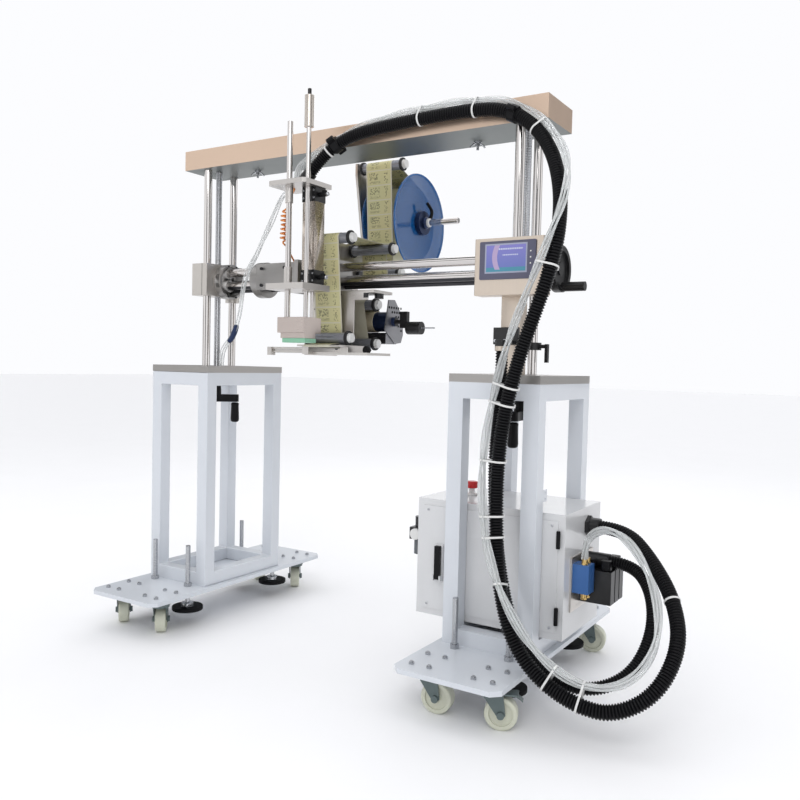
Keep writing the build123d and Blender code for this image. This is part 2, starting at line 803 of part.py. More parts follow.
# Reel: live spindle, core, two flanges, hub and the roll of labels
web_right = web_left + web_width
reel_flange_right = (8, 14)
with BuildPart() as reel:
    bar("X", reel_point, (boss_left, spindle_right), spindle_radius)
    bar("X", reel_point, (side_right + 3, 30), core_radius)
    bar("X", reel_point, reel_flange_right, reel_flange_radius)
    bar("X", reel_point, (side_right + 5, side_right + 11), reel_flange_radius * 0.9)
    bar("X", reel_point, (30, 39), core_radius * 0.8)
    block((39, 47), (reel_y - 8, reel_y + 8), (reel_point[1] - 8, reel_point[1] + 44))
reel.part.label = "reel"

with BuildPart() as label_roll:
    bar("X", reel_point, (web_left, web_right), label_roll_radius)
    bar("X", reel_point, (web_left, web_right), core_radius + running_fit, Mode.SUBTRACT)
label_roll.part.label = "label_roll"


def web_circles():
    """The circles that the middle of the web follows, as centre, radius and turn, from roll to rewinder."""
    half = web_thick / 2
    at_roller = roller_radius + air_gap + half
    at_edge = peel_thick / 2 + air_gap + half
    circles = [(reel_point, label_roll_radius + air_gap + half, 1)]
    for name in ("top", "dancer", "rear", "front_upper", "front_lower"):
        circles.append((roller_points[name], at_roller, roller_places[name][2]))
    edge_point = (peel_edge_y + peel_thick / 2, peel_bottom + peel_thick / 2)
    circles.append((edge_point, at_edge, 1))
    for name in ("bottom", "drive"):
        circles.append((roller_points[name], at_roller, roller_places[name][2]))
    circles.append((rewind_point, liner_radius + air_gap + half, -1))
    return circles


def tangent_run(start, end):
    """Start, end and heading of the straight run from one circle to the next."""
    (y1, z1), r1, turn1 = start
    (y2, z2), r2, turn2 = end
    reach = hypot(y2 - y1, z2 - z1)
    heading = atan2(z2 - z1, y2 - y1) + asin((turn1 * r1 - turn2 * r2) / reach)
    side = (sin(heading), -cos(heading))
    first = (y1 + turn1 * r1 * side[0], z1 + turn1 * r1 * side[1])
    last = (y2 + turn2 * r2 * side[0], z2 + turn2 * r2 * side[1])
    return first, last, heading


# Label web: a thin ribbon from the roll over all rollers and the peel edge to the rewinder
circles = web_circles()
runs = [tangent_run(start, end) for start, end in zip(circles, circles[1:])]
with BuildPart() as label_web:
    with BuildSketch(Plane.YZ.offset(web_left)) as ribbon:
        with BuildLine() as web_path:
            for index, (first, last, heading) in enumerate(runs):
                Line(first, last)
                if index + 1 < len(runs):
                    centre, radius, turn = circles[index + 1]
                    begin = degrees(atan2(last[1] - centre[1], last[0] - centre[0]))
                    sweep_angle = degrees(runs[index + 1][2] - heading)
                    while sweep_angle * turn < 0:
                        sweep_angle += turn * 360
                    CenterArc(centre, radius, begin, sweep_angle)
        trace(web_path.line, web_thick)
    extrude(ribbon.sketch, amount=web_width)
label_web.part.label = "label_web"

# Tamp frame: lower and upper plate with the bushes of the guide rods, and the hose elbow on top
tamp_right = tamp_left + tamp_plate_width
lower_z = (cross_z - tamp_lower_drop, cross_z - tamp_lower_drop + tamp_lower_thick)
upper_z = (cross_z + tamp_upper_rise, cross_z + tamp_upper_rise + tamp_upper_thick)
elbow_root = Vector(-88, -128, upper_z[1] + 12)
elbow_heading = Vector(0.66, 0.1, 0.745).normalized()
elbow_reach = 30
elbow_mouth = elbow_root + elbow_heading * elbow_reach
tube_socket = (-128, -112)
tube_socket_height = 14
rod_holes = ((rod_a, rod_a_radius), (rod_b, rod_b_radius))
with BuildPart() as tamp_frame:
    for z in (lower_z, upper_z):
        block((tamp_left, tamp_right), (tamp_front, tamp_back), z)
    chamfer(
        tamp_frame.edges().filter_by(Axis.Z).group_by(SortBy.LENGTH)[0].sort_by(Axis.Y)[:2],
        length=8,
    )
    bar("Z", rod_a, (lower_z[1], lower_z[1] + bush_height), bush_radius)
    bar("Z", rod_a, (upper_z[0] - bush_height, upper_z[0]), bush_radius)
    bar("Z", rod_b, (lower_z[0] - 6, lower_z[0]), bush_radius * 0.9)
    bar("Z", (elbow_root.X, elbow_root.Y), (upper_z[1], elbow_root.Z), hose_radius + 2)
    with BuildSketch(Plane(origin=elbow_root, z_dir=elbow_heading)):
        Circle(hose_radius + 2)
    extrude(amount=elbow_reach)
    bar("Z", tube_socket, (upper_z[1], upper_z[1] + tube_socket_height), bundle_radius + 2)
    for point, radius in rod_holes:
        whole = (lower_z[0] - 6, upper_z[1])
        bar("Z", point, whole, radius + running_fit, Mode.SUBTRACT)
    cylinder_point = (cylinder_x, cylinder_y)
    bar("Z", cylinder_point, lower_z, piston_rod_radius + running_fit, Mode.SUBTRACT)
tamp_frame.part.label = "tamp_frame"

# Tamp cylinder between the plates: two caps and the barrel
with BuildPart() as tamp_cylinder:
    half_cap = cylinder_side / 2
    cap_x = (cylinder_x - half_cap, cylinder_x + half_cap)
    cap_y = (cylinder_y - half_cap, cylinder_y + half_cap)
    block(cap_x, cap_y, (lower_z[1], lower_z[1] + cap_height))
    block(cap_x, cap_y, (upper_z[0] - cap_height, upper_z[0]))
    barrel_z = (lower_z[1] + cap_height, upper_z[0] - cap_height)
    barrel_x = (cap_x[0] + tube_relief, cap_x[1] - tube_relief)
    block(barrel_x, (cap_y[0] + tube_relief, cap_y[1] - tube_relief), barrel_z)
    bar("Z", cylinder_point, barrel_z, cylinder_bore / 2, Mode.SUBTRACT)
    bar(
        "Z",
        cylinder_point,
        (lower_z[1], barrel_z[0]),
        piston_rod_radius + running_fit,
        Mode.SUBTRACT,
    )
tamp_cylinder.part.label = "tamp_cylinder"

# Moving rods of the tamp: two guide rods, the piston with its rod, and the silencer on top
tamp_block_top = cross_z - tamp_block_drop
rod_a_top = upper_z[1] + 163
rod_b_top = upper_z[1] + 144
silencer_height = 86
with BuildPart() as tamp_rods:
    bar("Z", rod_a, (tamp_block_top, rod_a_top), rod_a_radius)
    bar("Z", rod_b, (tamp_block_top, rod_b_top), rod_b_radius)
    bar("Z", rod_b, (rod_b_top, rod_b_top + silencer_height), rod_b_radius * 2)
    bar("Z", rod_b, (rod_b_top + silencer_height, rod_b_top + silencer_height + 18), rod_b_radius * 0.8)
    piston_top = barrel_z[1] - 4
    bar("Z", cylinder_point, (tamp_block_top, piston_top), piston_rod_radius)
    bar("Z", cylinder_point, (piston_top - 16, piston_top), cylinder_bore / 2 - running_fit)
tamp_rods.part.label = "tamp_rods"

# Tamp block at the bottom of the rods, and the pad that presses the label down
neck_bottom = tamp_block_top - tamp_block_height - tamp_neck_height
with BuildPart() as tamp_block:
    block(tamp_block_x, tamp_block_y, (tamp_block_top - tamp_block_height, tamp_block_top))
    block(tamp_neck_x, tamp_neck_y, (neck_bottom, tamp_block_top - tamp_block_height))
tamp_block.part.label = "tamp_block"

with BuildPart() as tamp_pad:
    block(pad_x, pad_y, (neck_bottom - pad_height, neck_bottom))
tamp_pad.part.label = "tamp_pad"

# Column, housing and screen of the operator panel
column_x = (column_left, column_left + column_width)
with BuildPart() as hmi_column:
    column_y = (column_front, column_front + column_depth)
    block(column_x, column_y, (deck, deck + column_length))
    clip_z = (deck + 73, deck + 114)
    block((column_left - 15, column_x[1]), (column_front - 10, column_front), clip_z)
    socket_point = (column_left + 34, column_front - 62)
    socket_z = (clip_z[0] - 17, clip_z[0] + 9)
    block((socket_point[0] - 8, socket_point[0] + 8), (socket_point[1], column_front - 10), (clip_z[0], socket_z[1]))
    bar("Z", socket_point, socket_z, second_hose_radius + 2)
hmi_column.part.label = "hmi_column"

with BuildPart() as hmi_housing:
    panel_z = (deck + panel_lift, deck + panel_lift + panel_height)
    panel_x = (panel_left, panel_left + panel_width)
    panel_y = (column_front - panel_depth, column_front)
    block(panel_x, panel_y, panel_z)
    fillet(hmi_housing.edges().filter_by(Axis.Z), 3)
hmi_housing.part.label = "hmi_housing"

with BuildPart() as hmi_panel:
    bezel_x = (panel_left + 15, panel_left + 15 + bezel_width)
    bezel_z = (panel_z[1] - 8 - bezel_height, panel_z[1] - 8)
    block(bezel_x, (panel_y[0] - bezel_thick, panel_y[0]), bezel_z)
    fillet(hmi_panel.edges().filter_by(Axis.Y), 3)
hmi_panel.part.label = "hmi_panel"

# Control cabinet on four rubber feet over the bottom rails, open at the front behind its door
cabinet_bottom = base_top + tube + cabinet_foot
cabinet_x = (cabinet_left, cabinet_left + cabinet_width)
cabinet_y = (-cabinet_depth / 2, cabinet_depth / 2)
cabinet_z = (cabinet_bottom, cabinet_bottom + cabinet_height)
door_x = (cabinet_x[0] + door_margin, cabinet_x[1] - door_margin)
door_z = (cabinet_z[0] + door_margin, cabinet_z[1] - door_margin)
with BuildPart() as cabinet_body:
    block(cabinet_x, cabinet_y, cabinet_z)
    block(
        (cabinet_x[0] + sheet, cabinet_x[1] - sheet),
        (cabinet_y[0] + sheet, cabinet_y[1] - sheet),
        (cabinet_z[0] + sheet, cabinet_z[1] - sheet),
        Mode.SUBTRACT,
    )
    block(
        (door_x[0] + 5, door_x[1] - 5),
        (cabinet_y[0], cabinet_y[0] + sheet),
        (door_z[0] + 5, door_z[1] - 5),
        Mode.SUBTRACT,
    )
    for across in sides:
        for end in sides:
            foot_x = stand_offset + across * (frame_width - tube) / 2
            bar("Z", (foot_x, end * (cabinet_depth / 2 - 22)), (base_top + tube, cabinet_z[0]), 14)
    bar("Z", (estop_x, estop_y), (cabinet_z[1] - sheet, cabinet_z[1]), 6 + air_gap, Mode.SUBTRACT)
cabinet_body.part.label = "cabinet_body"

with BuildPart() as cabinet_door:
    door_y = (cabinet_y[0] - door_thick, cabinet_y[0])
    block(door_x, door_y, door_z)
    handle_bottom = base_top + tube + handle_lift
    shell_x = (handle_left, handle_left + handle_width)
    shell_z = (handle_bottom, handle_bottom + handle_length)
    shell_y = (door_y[0] - 5, door_y[0])
    block(shell_x, shell_y, shell_z)
    for ear in ((shell_x[0], shell_x[0] + 4), (shell_x[1] - 4, shell_x[1])):
        block(ear, (shell_y[0] - 14, shell_y[0]), (handle_bottom + 2, handle_bottom + 16))
    pin_point = (shell_y[0] - 7, handle_bottom + 9)
    bar("X", pin_point, (shell_x[0] + 4, shell_x[1] - 4), 3)
cabinet_door.part.label = "cabinet_door"

with BuildPart() as door_handle:
    lever_gap = (shell_x[0] + 4 + air_gap, shell_x[1] - 4 - air_gap)
    block(lever_gap, (pin_point[0] - 5, pin_point[0] + 5), (pin_point[1], shell_z[1] - 4))
    bar("X", pin_point, lever_gap, 5)
    bar("X", pin_point, lever_gap, 3 + running_fit, Mode.SUBTRACT)
door_handle.part.label = "door_handle"

with BuildPart() as estop_button:
    estop_base = cabinet_z[1]
    cap_bottom = estop_base + estop_stem_height
    bar("Z", (estop_x, estop_y), (estop_base - 12, cap_bottom), 6)
    bar("Z", (estop_x, estop_y), (cap_bottom, cap_bottom + estop_cap_height), estop_radius)
    fillet(estop_button.edges().filter_by(GeomType.CIRCLE).group_by(Axis.Z)[-1], 6)
estop_button.part.label = "estop_button"

# Valve group on the right wall: two slim valves with their unions and a bank of coils
wall_x = cabinet_x[1]
valve_left = wall_x + 4
valve_low = cabinet_z[0] + 108
valve_height = 69
valve_width = 19
valve_reach = 40
valve_fronts = (-80, -59)
union_reach = 26
union_length = 14
union_radius = 7
coil_width = 28
coil_reach = 80
coil_fronts = (-34, 0, 34)
with BuildPart() as valve_group:
    block((wall_x, valve_left), (-85, 66), (cabinet_z[0] + 60, cabinet_z[0] + 192))
    for front in valve_fronts:
        valve_y = (front, front + valve_width)
        block((valve_left, valve_left + valve_reach), valve_y, (valve_low, valve_low + valve_height))
        union = (valve_left + union_reach, front + valve_width / 2)
        bar("Z", union, (valve_low - union_length, valve_low), union_radius)
        bar("Z", union, (valve_low + valve_height, valve_low + valve_height + union_length), union_radius)
    for front in coil_fronts:
        coil_y = (front, front + coil_width)
        block((valve_left, valve_left + coil_reach), coil_y, (valve_low - 30, valve_low + 50))
    bar("X", (14, valve_low + 66), (valve_left, valve_left + 60), second_hose_radius + 3)
    block((valve_left + 8, valve_left + 50), (6, 22), (valve_low + 50, valve_low + 52))
valve_group.part.label = "valve_group"

# Filter regulator on the left wall
with BuildPart() as filter_regulator:
    filter_right = cabinet_x[0]
    filter_z = cabinet_z[0] + 187
    block((filter_right - 8, filter_right), (-80, -40), (filter_z - 8, filter_z + 32))
    block((filter_right - 52, filter_right - 8), (-82, -38), (filter_z - 10, filter_z + 22))
    bar("Z", (filter_right - 30, -60), (filter_z - 50, filter_z - 10), 17)
    bar("Z", (filter_right - 30, -60), (filter_z + 22, filter_z + 50), 15)
filter_regulator.part.label = "filter_regulator"

# Gland of the main hose on the right wall
gland_y = 30
gland_z = cabinet_z[0] + 252
gland_end = wall_x + 32
with BuildPart() as hose_gland:
    with BuildSketch(Plane(origin=(wall_x, gland_y, gland_z), z_dir=(1, 0, 0))) as nut:
        RegularPolygon(26, 6)
    extrude(nut.sketch, amount=10)
    bar("X", (gland_y, gland_z), (wall_x + 10, gland_end), 21)
hose_gland.part.label = "hose_gland"


def run_radii(points):
    """Bend radius at each inner point: 0.45 of the shorter run over the tangent of half the turn."""
    vectors = [Vector(*point) for point in points]
    radii = []
    for before, here, after in zip(vectors, vectors[1:], vectors[2:]):
        turn = (here - before).get_angle(after - here)
        shorter = min((here - before).length, (after - here).length)
        radii.append(0.45 * shorter / tan(radians(turn) / 2))
    return radii


def hose(name, points, radius):
    """Free hose along straight runs joined by tangent arcs."""
    radii = run_radii(points)
    with BuildPart() as piece:
        with BuildLine() as route:
            FilletPolyline(*points, radius=radii)
        start = route.line @ 0
        heading = route.line % 0
        with BuildSketch(Plane(origin=start, z_dir=heading)):
            Circle(radius)
        sweep()
    length = sum(edge.length for edge in route.edges())
    share = piece.part.volume / (pi * radius**2 * length)
    print(name, "length", round(length), "radii", [round(r) for r in radii], "volume share", round(share, 4))
    piece.part.label = name
    return piece


# Main hose: from the cabinet, down in a loop, up past the panel, along the beam and down to the head
elbow_run = elbow_mouth + elbow_heading * 75
main_route = [
    (gland_end, gland_y, gland_z),
    (805, gland_y, gland_z),
    (880, -25, 368),
    (952, -90, 297),
    (988, -170, 220),
    (962, -248, 135),
    (885, -290, 88),
    (804, -298, 94),
    (723, -295, 128),
    (662, -288, 183),
    (622, -273, 258),
    (590, -245, 365),
    (578, -233, 498),
    (581, -232, 614),
    (596, -232, 718),
    (626, -233, 833),
    (661, -230, 934),
    (688, -222, 1022),
    (698, -200, 1112),
    (685, -165, 1215),
    (648, -132, 1312),
    (585, -110, 1390),
    (505, -105, 1434),
    (400, -105, 1443),
    (265, -106, 1440),
    (140, -105, 1434),
    (55, -109, 1424),
    (elbow_run.X, elbow_run.Y, elbow_run.Z),
    (elbow_mouth.X, elbow_mouth.Y, elbow_mouth.Z),
]
main_hose = hose("main_hose", main_route, hose_radius)

# Second hose: from the coils of the valve group, behind the main hose, to the clip on the column
second_route = [
    (valve_left + 60, 14, valve_low + 66),
    (830, 14, valve_low + 66),
    (888, -35, 295),
    (915, -105, 225),
    (898, -178, 150),
    (840, -228, 112),
    (765, -248, 108),
    (695, -248, 138),
    (645, -240, 190),
    (610, -228, 255),
    (580, -208, 345),
    (560, -196, 440),
    (553, -195, 540),
    (555, -195, 640),
    (561, -192, 735),
    (socket_point[0], socket_point[1], 790),
    (socket_point[0], socket_point[1], socket_z[0]),
]
second_hose = hose("second_hose", second_route, second_hose_radius)

# Air tubes: one bundle from the valves beside the main hose to the socket on the tamp frame
bundle_route = [
    (valve_left + union_reach, -70.5, valve_low + valve_height + union_length),
    (valve_left + union_reach, -70.5, 388),
    (757, -77, 418),
    (795, -90, 436),
    (845, -108, 425),
    (898, -138, 378),
    (942, -180, 310),
    (955, -230, 225),
    (912, -270, 155),
    (840, -288, 132),
    (771, -302, 153),
    (701, -312, 208),
    (642, -308, 285),
    (594, -286, 360),
    (560, -262, 450),
    (545, -246, 548),
    (550, -236, 658),
    (566, -227, 763),
    (588, -218, 860),
    (617, -219, 938),
    (654, -230, 1015),
    (692, -242, 1095),
    (718, -224, 1175),
    (720, -182, 1258),
    (686, -135, 1345),
    (622, -104, 1420),
    (535, -96, 1464),
    (410, -96, 1475),
    (265, -97, 1474),
    (125, -96, 1462),
    (15, -95, 1432),
    (-55, -98, 1398),
    (-104, -104, 1378),
    (tube_socket[0], tube_socket[1], 1352),
    (tube_socket[0], tube_socket[1], upper_z[1] + tube_socket_height),
]
air_tubes = hose("air_tubes", bundle_route, bundle_radius)

# Thinner bundle: from the upper tamp plate, down past the left flange to the left deck
upper_middle = sum(upper_z) / 2
left_route = [
    (tamp_left, -104, upper_middle),
    (tamp_left - 31, -104, upper_middle),
    (-212, -97, 1262),
    (-250, -91, 1196),
    (-290, -88, 1138),
    (-330, -88, 1080),
    (-352, -88, 1015),
    (-364, -88, 945),
    (-386, -88, 880),
    (-424, -88, 846),
    (-438, -88, 822),
    (-438, -88, deck),
]
left_tubes = hose("left_tubes", left_route, left_bundle_radius)


def group(name, *pieces):
    """Several pieces that stay separate solids but share one file."""
    return Compound(label=name, children=[piece.part for piece in pieces])


nodes = [
    group("base_plates", base_plates, caster_mounts),
    *[fork.part for fork in forks],
    *[wheel.part for wheel in wheels],
    left_feet.part,
    right_feet.part,
    left_stand_frame.part,
    right_stand_frame.part,
    top_plates.part,
    group("guide_shafts", guide_shafts, stop_collar),
    cross_beam.part,
    left_lift_screw.part,
    right_lift_screw.part,
    carriage_blocks.part,
    cross_shafts.part,
    round_flanges.part,
    traverse_screw.part,
    group("head_slide", head_slide_block, head_back_plate),
    head_side_plate.part,
    reel_arm.part,
    *[roller.part for roller in rollers],
    cover_plate.part,
    peel_bed.part,
    rewinder.part,
    group("rewinder_plate", rewinder_plate, drive_motor),
    reel.part,
    label_roll.part,
    label_web.part,
    tamp_frame.part,
    tamp_cylinder.part,
    tamp_rods.part,
    group("tamp_block", tamp_block, tamp_pad),
    group("hmi_column", hmi_column, hmi_housing),
    hmi_panel.part,
    group("cabinet_body", cabinet_body, cabinet_door),
    door_handle.part,
    estop_button.part,
    group("cabinet_fittings", valve_group, filter_regulator, hose_gland),
    main_hose.part,
    second_hose.part,
    group("air_tubes", air_tubes, left_tubes),
]
for node in nodes:
    export_step(node, f"parts/{node.label}.step")
print("nodes", len(nodes))
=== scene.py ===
"""Looks of a flat label applicator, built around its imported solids.

All lengths are in metres, in the frame of the solids: X along the cross shafts, Y from the
operator to the back, Z up, with the floor at zero.
"""

from __future__ import annotations

import json
import logging
from dataclasses import dataclass, field
from enum import Enum
from math import asin, atan2, cos, hypot, pi, radians, sin
from typing import Iterable, Sequence

import bmesh
import bpy
import numpy as np
from mathutils import Matrix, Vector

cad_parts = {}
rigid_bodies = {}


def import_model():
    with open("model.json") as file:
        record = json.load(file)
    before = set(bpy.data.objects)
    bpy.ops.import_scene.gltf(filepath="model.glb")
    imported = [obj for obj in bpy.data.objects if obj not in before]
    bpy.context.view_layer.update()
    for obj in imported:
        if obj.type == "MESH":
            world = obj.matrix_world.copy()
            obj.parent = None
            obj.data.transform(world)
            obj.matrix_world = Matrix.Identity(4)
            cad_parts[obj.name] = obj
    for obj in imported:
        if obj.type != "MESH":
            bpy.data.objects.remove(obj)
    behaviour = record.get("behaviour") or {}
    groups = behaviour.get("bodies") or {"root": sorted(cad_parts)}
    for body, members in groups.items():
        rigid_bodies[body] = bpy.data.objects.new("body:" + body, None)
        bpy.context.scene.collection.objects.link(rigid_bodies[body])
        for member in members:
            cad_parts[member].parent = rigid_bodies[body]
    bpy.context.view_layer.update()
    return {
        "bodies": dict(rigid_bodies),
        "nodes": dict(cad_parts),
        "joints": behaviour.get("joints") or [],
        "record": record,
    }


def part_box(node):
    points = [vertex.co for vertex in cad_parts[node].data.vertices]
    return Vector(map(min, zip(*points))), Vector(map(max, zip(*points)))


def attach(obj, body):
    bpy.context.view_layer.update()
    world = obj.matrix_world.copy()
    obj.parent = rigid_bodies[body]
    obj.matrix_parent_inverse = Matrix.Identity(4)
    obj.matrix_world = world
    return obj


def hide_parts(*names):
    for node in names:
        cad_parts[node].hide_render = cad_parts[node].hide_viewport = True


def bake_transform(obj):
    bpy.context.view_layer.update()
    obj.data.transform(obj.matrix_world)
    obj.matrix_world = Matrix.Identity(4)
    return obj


log = logging.getLogger("label_applicator")

Triple = tuple[float, float, float]
Pair = tuple[float, float]
MM = 0.001


class Axis(Enum):
    """The three directions of the machine."""

    X = 0
    Y = 1
    Z = 2


class Wire:
    """A number that runs through a shader, so that sums of numbers read as plain expressions."""

    def __init__(self, board: "Board", socket: bpy.types.NodeSocket) -> None:
        """Keep the board and the socket that carries the number."""
        self.board = board
        self.socket = socket

    def math(self, operation: str, *terms: "Wire | float") -> "Wire":
        """One Math node.

        Args:
            operation: name of the Math node's operation.
            terms: its inputs in order.

        Returns:
            The node's result.
        """
        node = self.board.make("ShaderNodeMath", {"operation": operation}, dict(enumerate(terms)))
        return Wire(self.board, node.outputs[0])

    def __add__(self, other: "Wire | float") -> "Wire":
        """Sum."""
        return self.math("ADD", self, other)

    __radd__ = __add__

    def __sub__(self, other: "Wire | float") -> "Wire":
        """Difference."""
        return self.math("SUBTRACT", self, other)

    def __rsub__(self, other: float) -> "Wire":
        """Difference from a plain number."""
        return self.math("SUBTRACT", other, self)

    def __mul__(self, other: "Wire | float") -> "Wire":
        """Product."""
        return self.math("MULTIPLY", self, other)

    __rmul__ = __mul__

    def __truediv__(self, other: "Wire | float") -> "Wire":
        """Quotient."""
        return self.math("DIVIDE", self, other)

    def __pow__(self, other: "Wire | float") -> "Wire":
        """Power."""
        return self.math("POWER", self, other)

    def __gt__(self, other: "Wire | float") -> "Wire":
        """One where this is greater, and zero elsewhere."""
        return self.math("GREATER_THAN", self, other)

    def __lt__(self, other: "Wire | float") -> "Wire":
        """One where this is less, and zero elsewhere."""
        return self.math("LESS_THAN", self, other)

    def between(self, low: float, high: float) -> "Wire":
        """One between two values, and zero elsewhere."""
        return (self > low) * (self < high)

    def fraction(self) -> "Wire":
        """What is left of the number over its whole part."""
        return self.math("FRACT", self)

    def floor(self) -> "Wire":
        """The whole part."""
        return self.math("FLOOR", self)

    def sine(self) -> "Wire":
        """Sine of the number as an angle in radians."""
        return self.math("SINE", self)

    def either(self, other: "Wire | float") -> "Wire":
        """The larger of two numbers."""
        return self.math("MAXIMUM", self, other)


@dataclass
class Tone:
    """What a surface shows at a point: colour, roughness, metal and height of its relief."""

    colour: bpy.types.NodeSocket | Triple
    roughness: Wire | float
    metallic: Wire | float
    height: Wire | float


class Board:
    """Node board of one material."""

    def __init__(self, name: str) -> None:
        """Start an empty material of that name."""
        self.material = bpy.data.materials.new(name)
        self.material.use_nodes = True
        self.tree = self.material.node_tree
        self.tree.nodes.clear()
        self.coordinates = self.make("ShaderNodeTexCoord")
        self.place = self.coordinates.outputs["Object"]
        parts = self.make("ShaderNodeSeparateXYZ", None, {0: self.place})
        self.x, self.y, self.z = (Wire(self, socket) for socket in parts.outputs)

    def make(
        self,
        kind: str,
        settings: dict[str, object] | None = None,
        inputs: dict[int | str, object] | None = None,
    ) -> bpy.types.Node:
        """Add one node.

        Args:
            kind: the node's type.
            settings: properties that are set first, such as a Math node's operation.
            inputs: value or link of each socket, by index or name.

        Returns:
            The node.
        """
        node = self.tree.nodes.new(kind)
        for key, value in (settings or {}).items():
            setattr(node, key, value)
        for key, value in (inputs or {}).items():
            self.join(node.inputs[key], value)
        return node

    def join(self, socket: bpy.types.NodeSocket, value: object) -> None:
        """Link a wire or a socket to a socket, or set its value."""
        if isinstance(value, Wire):
            self.tree.links.new(value.socket, socket)
        elif isinstance(value, bpy.types.NodeSocket):
            self.tree.links.new(value, socket)
        elif socket.type == "RGBA" and len(value) == 3:
            socket.default_value = (*value, 1)
        else:
            socket.default_value = value

    def noise(self, cells: Triple, detail: float = 2.0, place: object = None) -> Wire:
        """Cloudy noise from 0 to 1.

        Args:
            cells: cells for each metre along X, Y and Z.
            detail: octaves.
            place: vector to read instead of the object's place.

        Returns:
            The noise.
        """
        mapping = self.make(
            "ShaderNodeMapping", None, {"Vector": place or self.place, "Scale": cells}
        )
        node = self.make(
            "ShaderNodeTexNoise",
            None,
            {"Vector": mapping.outputs[0], "Scale": 1.0, "Detail": detail, "Roughness": 0.6},
        )
        return Wire(self, node.outputs[0])

    def shaded(self, colour: object, shade: Wire) -> bpy.types.NodeSocket:
        """A colour times a number."""
        node = self.make(
            "ShaderNodeVectorMath", {"operation": "SCALE"}, {0: colour, "Scale": shade}
        )
        return node.outputs[0]

    def mixed(self, mask: Wire, low: object, high: object) -> bpy.types.NodeSocket:
        """Mix of two colours, the second where the mask is one."""
        node = self.make("ShaderNodeMix", {"data_type": "RGBA"}, {0: mask, 6: low, 7: high})
        return node.outputs[2]

    def merged(self, mask: Wire, low: Tone, high: Tone) -> Tone:
        """Mix of two tones, the second where the mask is one."""
        return Tone(
            self.mixed(mask, low.colour, high.colour),
            (1 - mask) * low.roughness + mask * high.roughness,
            (1 - mask) * low.metallic + mask * high.metallic,
            (1 - mask) * low.height + mask * high.height,
        )

    def attribute(self, name: str) -> tuple[Wire, Wire, Wire]:
        """The three numbers of a vector attribute of the mesh."""
        node = self.make("ShaderNodeAttribute", {"attribute_name": name})
        parts = self.make("ShaderNodeSeparateXYZ", None, {0: node.outputs["Vector"]})
        return tuple(Wire(self, socket) for socket in parts.outputs)

    def finish(self, tone: Tone, **constants: object) -> bpy.types.Material:
        """Close the material.

        Args:
            tone: what the surface shows.
            constants: plain values of further sockets of the shader, by name with _ for a space.

        Returns:
            The material.
        """
        bump = self.make(
            "ShaderNodeBump", None, {"Height": tone.height, "Distance": 1.0, "Strength": 0.9}
        )
        values = {key.replace("_", " "): value for key, value in constants.items()}
        shader = self.make(
            "ShaderNodeBsdfPrincipled",
            None,
            {
                "Base Color": tone.colour,
                "Roughness": tone.roughness,
                "Metallic": tone.metallic,
                "Normal": bump.outputs[0],
                **values,
            },
        )
        output = self.make("ShaderNodeOutputMaterial")
        self.tree.links.new(shader.outputs[0], output.inputs[0])
        return self.material


@dataclass(frozen=True)
class Finish:
    """Surface of one kind, worked out from noise on the object's place.

    The fine noise shades the colour, the roughness and the relief. The broad noise adds the
    slow change of a handled surface.
    """

    name: str
    colour: Triple
    roughness: float = 0.4
    metallic: float = 0.0
    grain: Triple = (700, 700, 700)
    mottle: float = 0.04
    depth: float = 0.00002
    haze: float = 0.08
    dust: float = 0.05
    gloss: float = 0.5

    def tone(self, board: Board) -> Tone:
        """The finish on a board.

        Args:
            board: board of the material that shows it.

        Returns:
            Its tone.
        """
        fine = board.noise(self.grain, 3.0)
        broad = board.noise((11, 11, 11), 2.0)
        shade = 1 + (fine - 0.5) * (2 * self.mottle) + (broad - 0.5) * (2 * self.dust)
        rough = self.roughness + (fine - 0.5) * self.haze + (broad - 0.5) * self.haze
        metallic = self.metallic
        return Tone(board.shaded(self.colour, shade), rough, metallic, fine * self.depth)


# Cells of noise in a metre along X, Y and Z
EVEN_GRAIN: Triple = (500, 500, 500)
FINE_GRAIN: Triple = (900, 900, 900)
BRUSHED_X: Triple = (25, 900, 900)
ROLLED_X: Triple = (20, 900, 900)
DRAWN_X: Triple = (25, 700, 700)

WHITE_PAINT = Finish(
    "white_paint", (0.645, 0.675, 0.72), 0.22, 0.0, (320, 320, 320), 0.015, 0.00003, 0.06, 0.03
)
GREY_GREEN = Finish("grey_green_paint", (0.12, 0.155, 0.155), 0.36, 0.35, EVEN_GRAIN, 0.06, 0.00003)
CREAM = Finish("cream_nylon", (0.60, 0.61, 0.50), 0.36, 0.0, (250, 250, 250), 0.06, 0.00004)
BLACK_RUBBER = Finish(
    "black_rubber", (0.007, 0.007, 0.008), 0.6, 0.0, (600, 600, 600), 0.2, 0.00006, gloss=0.1
)
BLACK_PLASTIC = Finish(
    "black_plastic", (0.006, 0.006, 0.007), 0.34, 0.0, FINE_GRAIN, 0.15, 0.00003, gloss=0.14
)
ZINC = Finish("zinc_steel", (0.46, 0.47, 0.49), 0.26, 1.0, EVEN_GRAIN, 0.12, 0.00002, 0.15)
DARK_STEEL = Finish("dark_steel", (0.05, 0.05, 0.055), 0.34, 0.8, EVEN_GRAIN, 0.15, 0.00002, 0.12)
CHROME = Finish("chrome", (0.62, 0.595, 0.58), 0.09, 1.0, FINE_GRAIN, 0.02, 0.000002, 0.04, 0.02)
CHAMPAGNE = Finish(
    "champagne_plate", (0.69, 0.525, 0.405), 0.34, 0.85, ROLLED_X, 0.06, 0.00001, 0.1, 0.03
)
CHAMPAGNE_Z = Finish(
    "champagne_column", (0.61, 0.53, 0.45), 0.34, 0.85, (900, 900, 20), 0.06, 0.00001, 0.1, 0.03
)
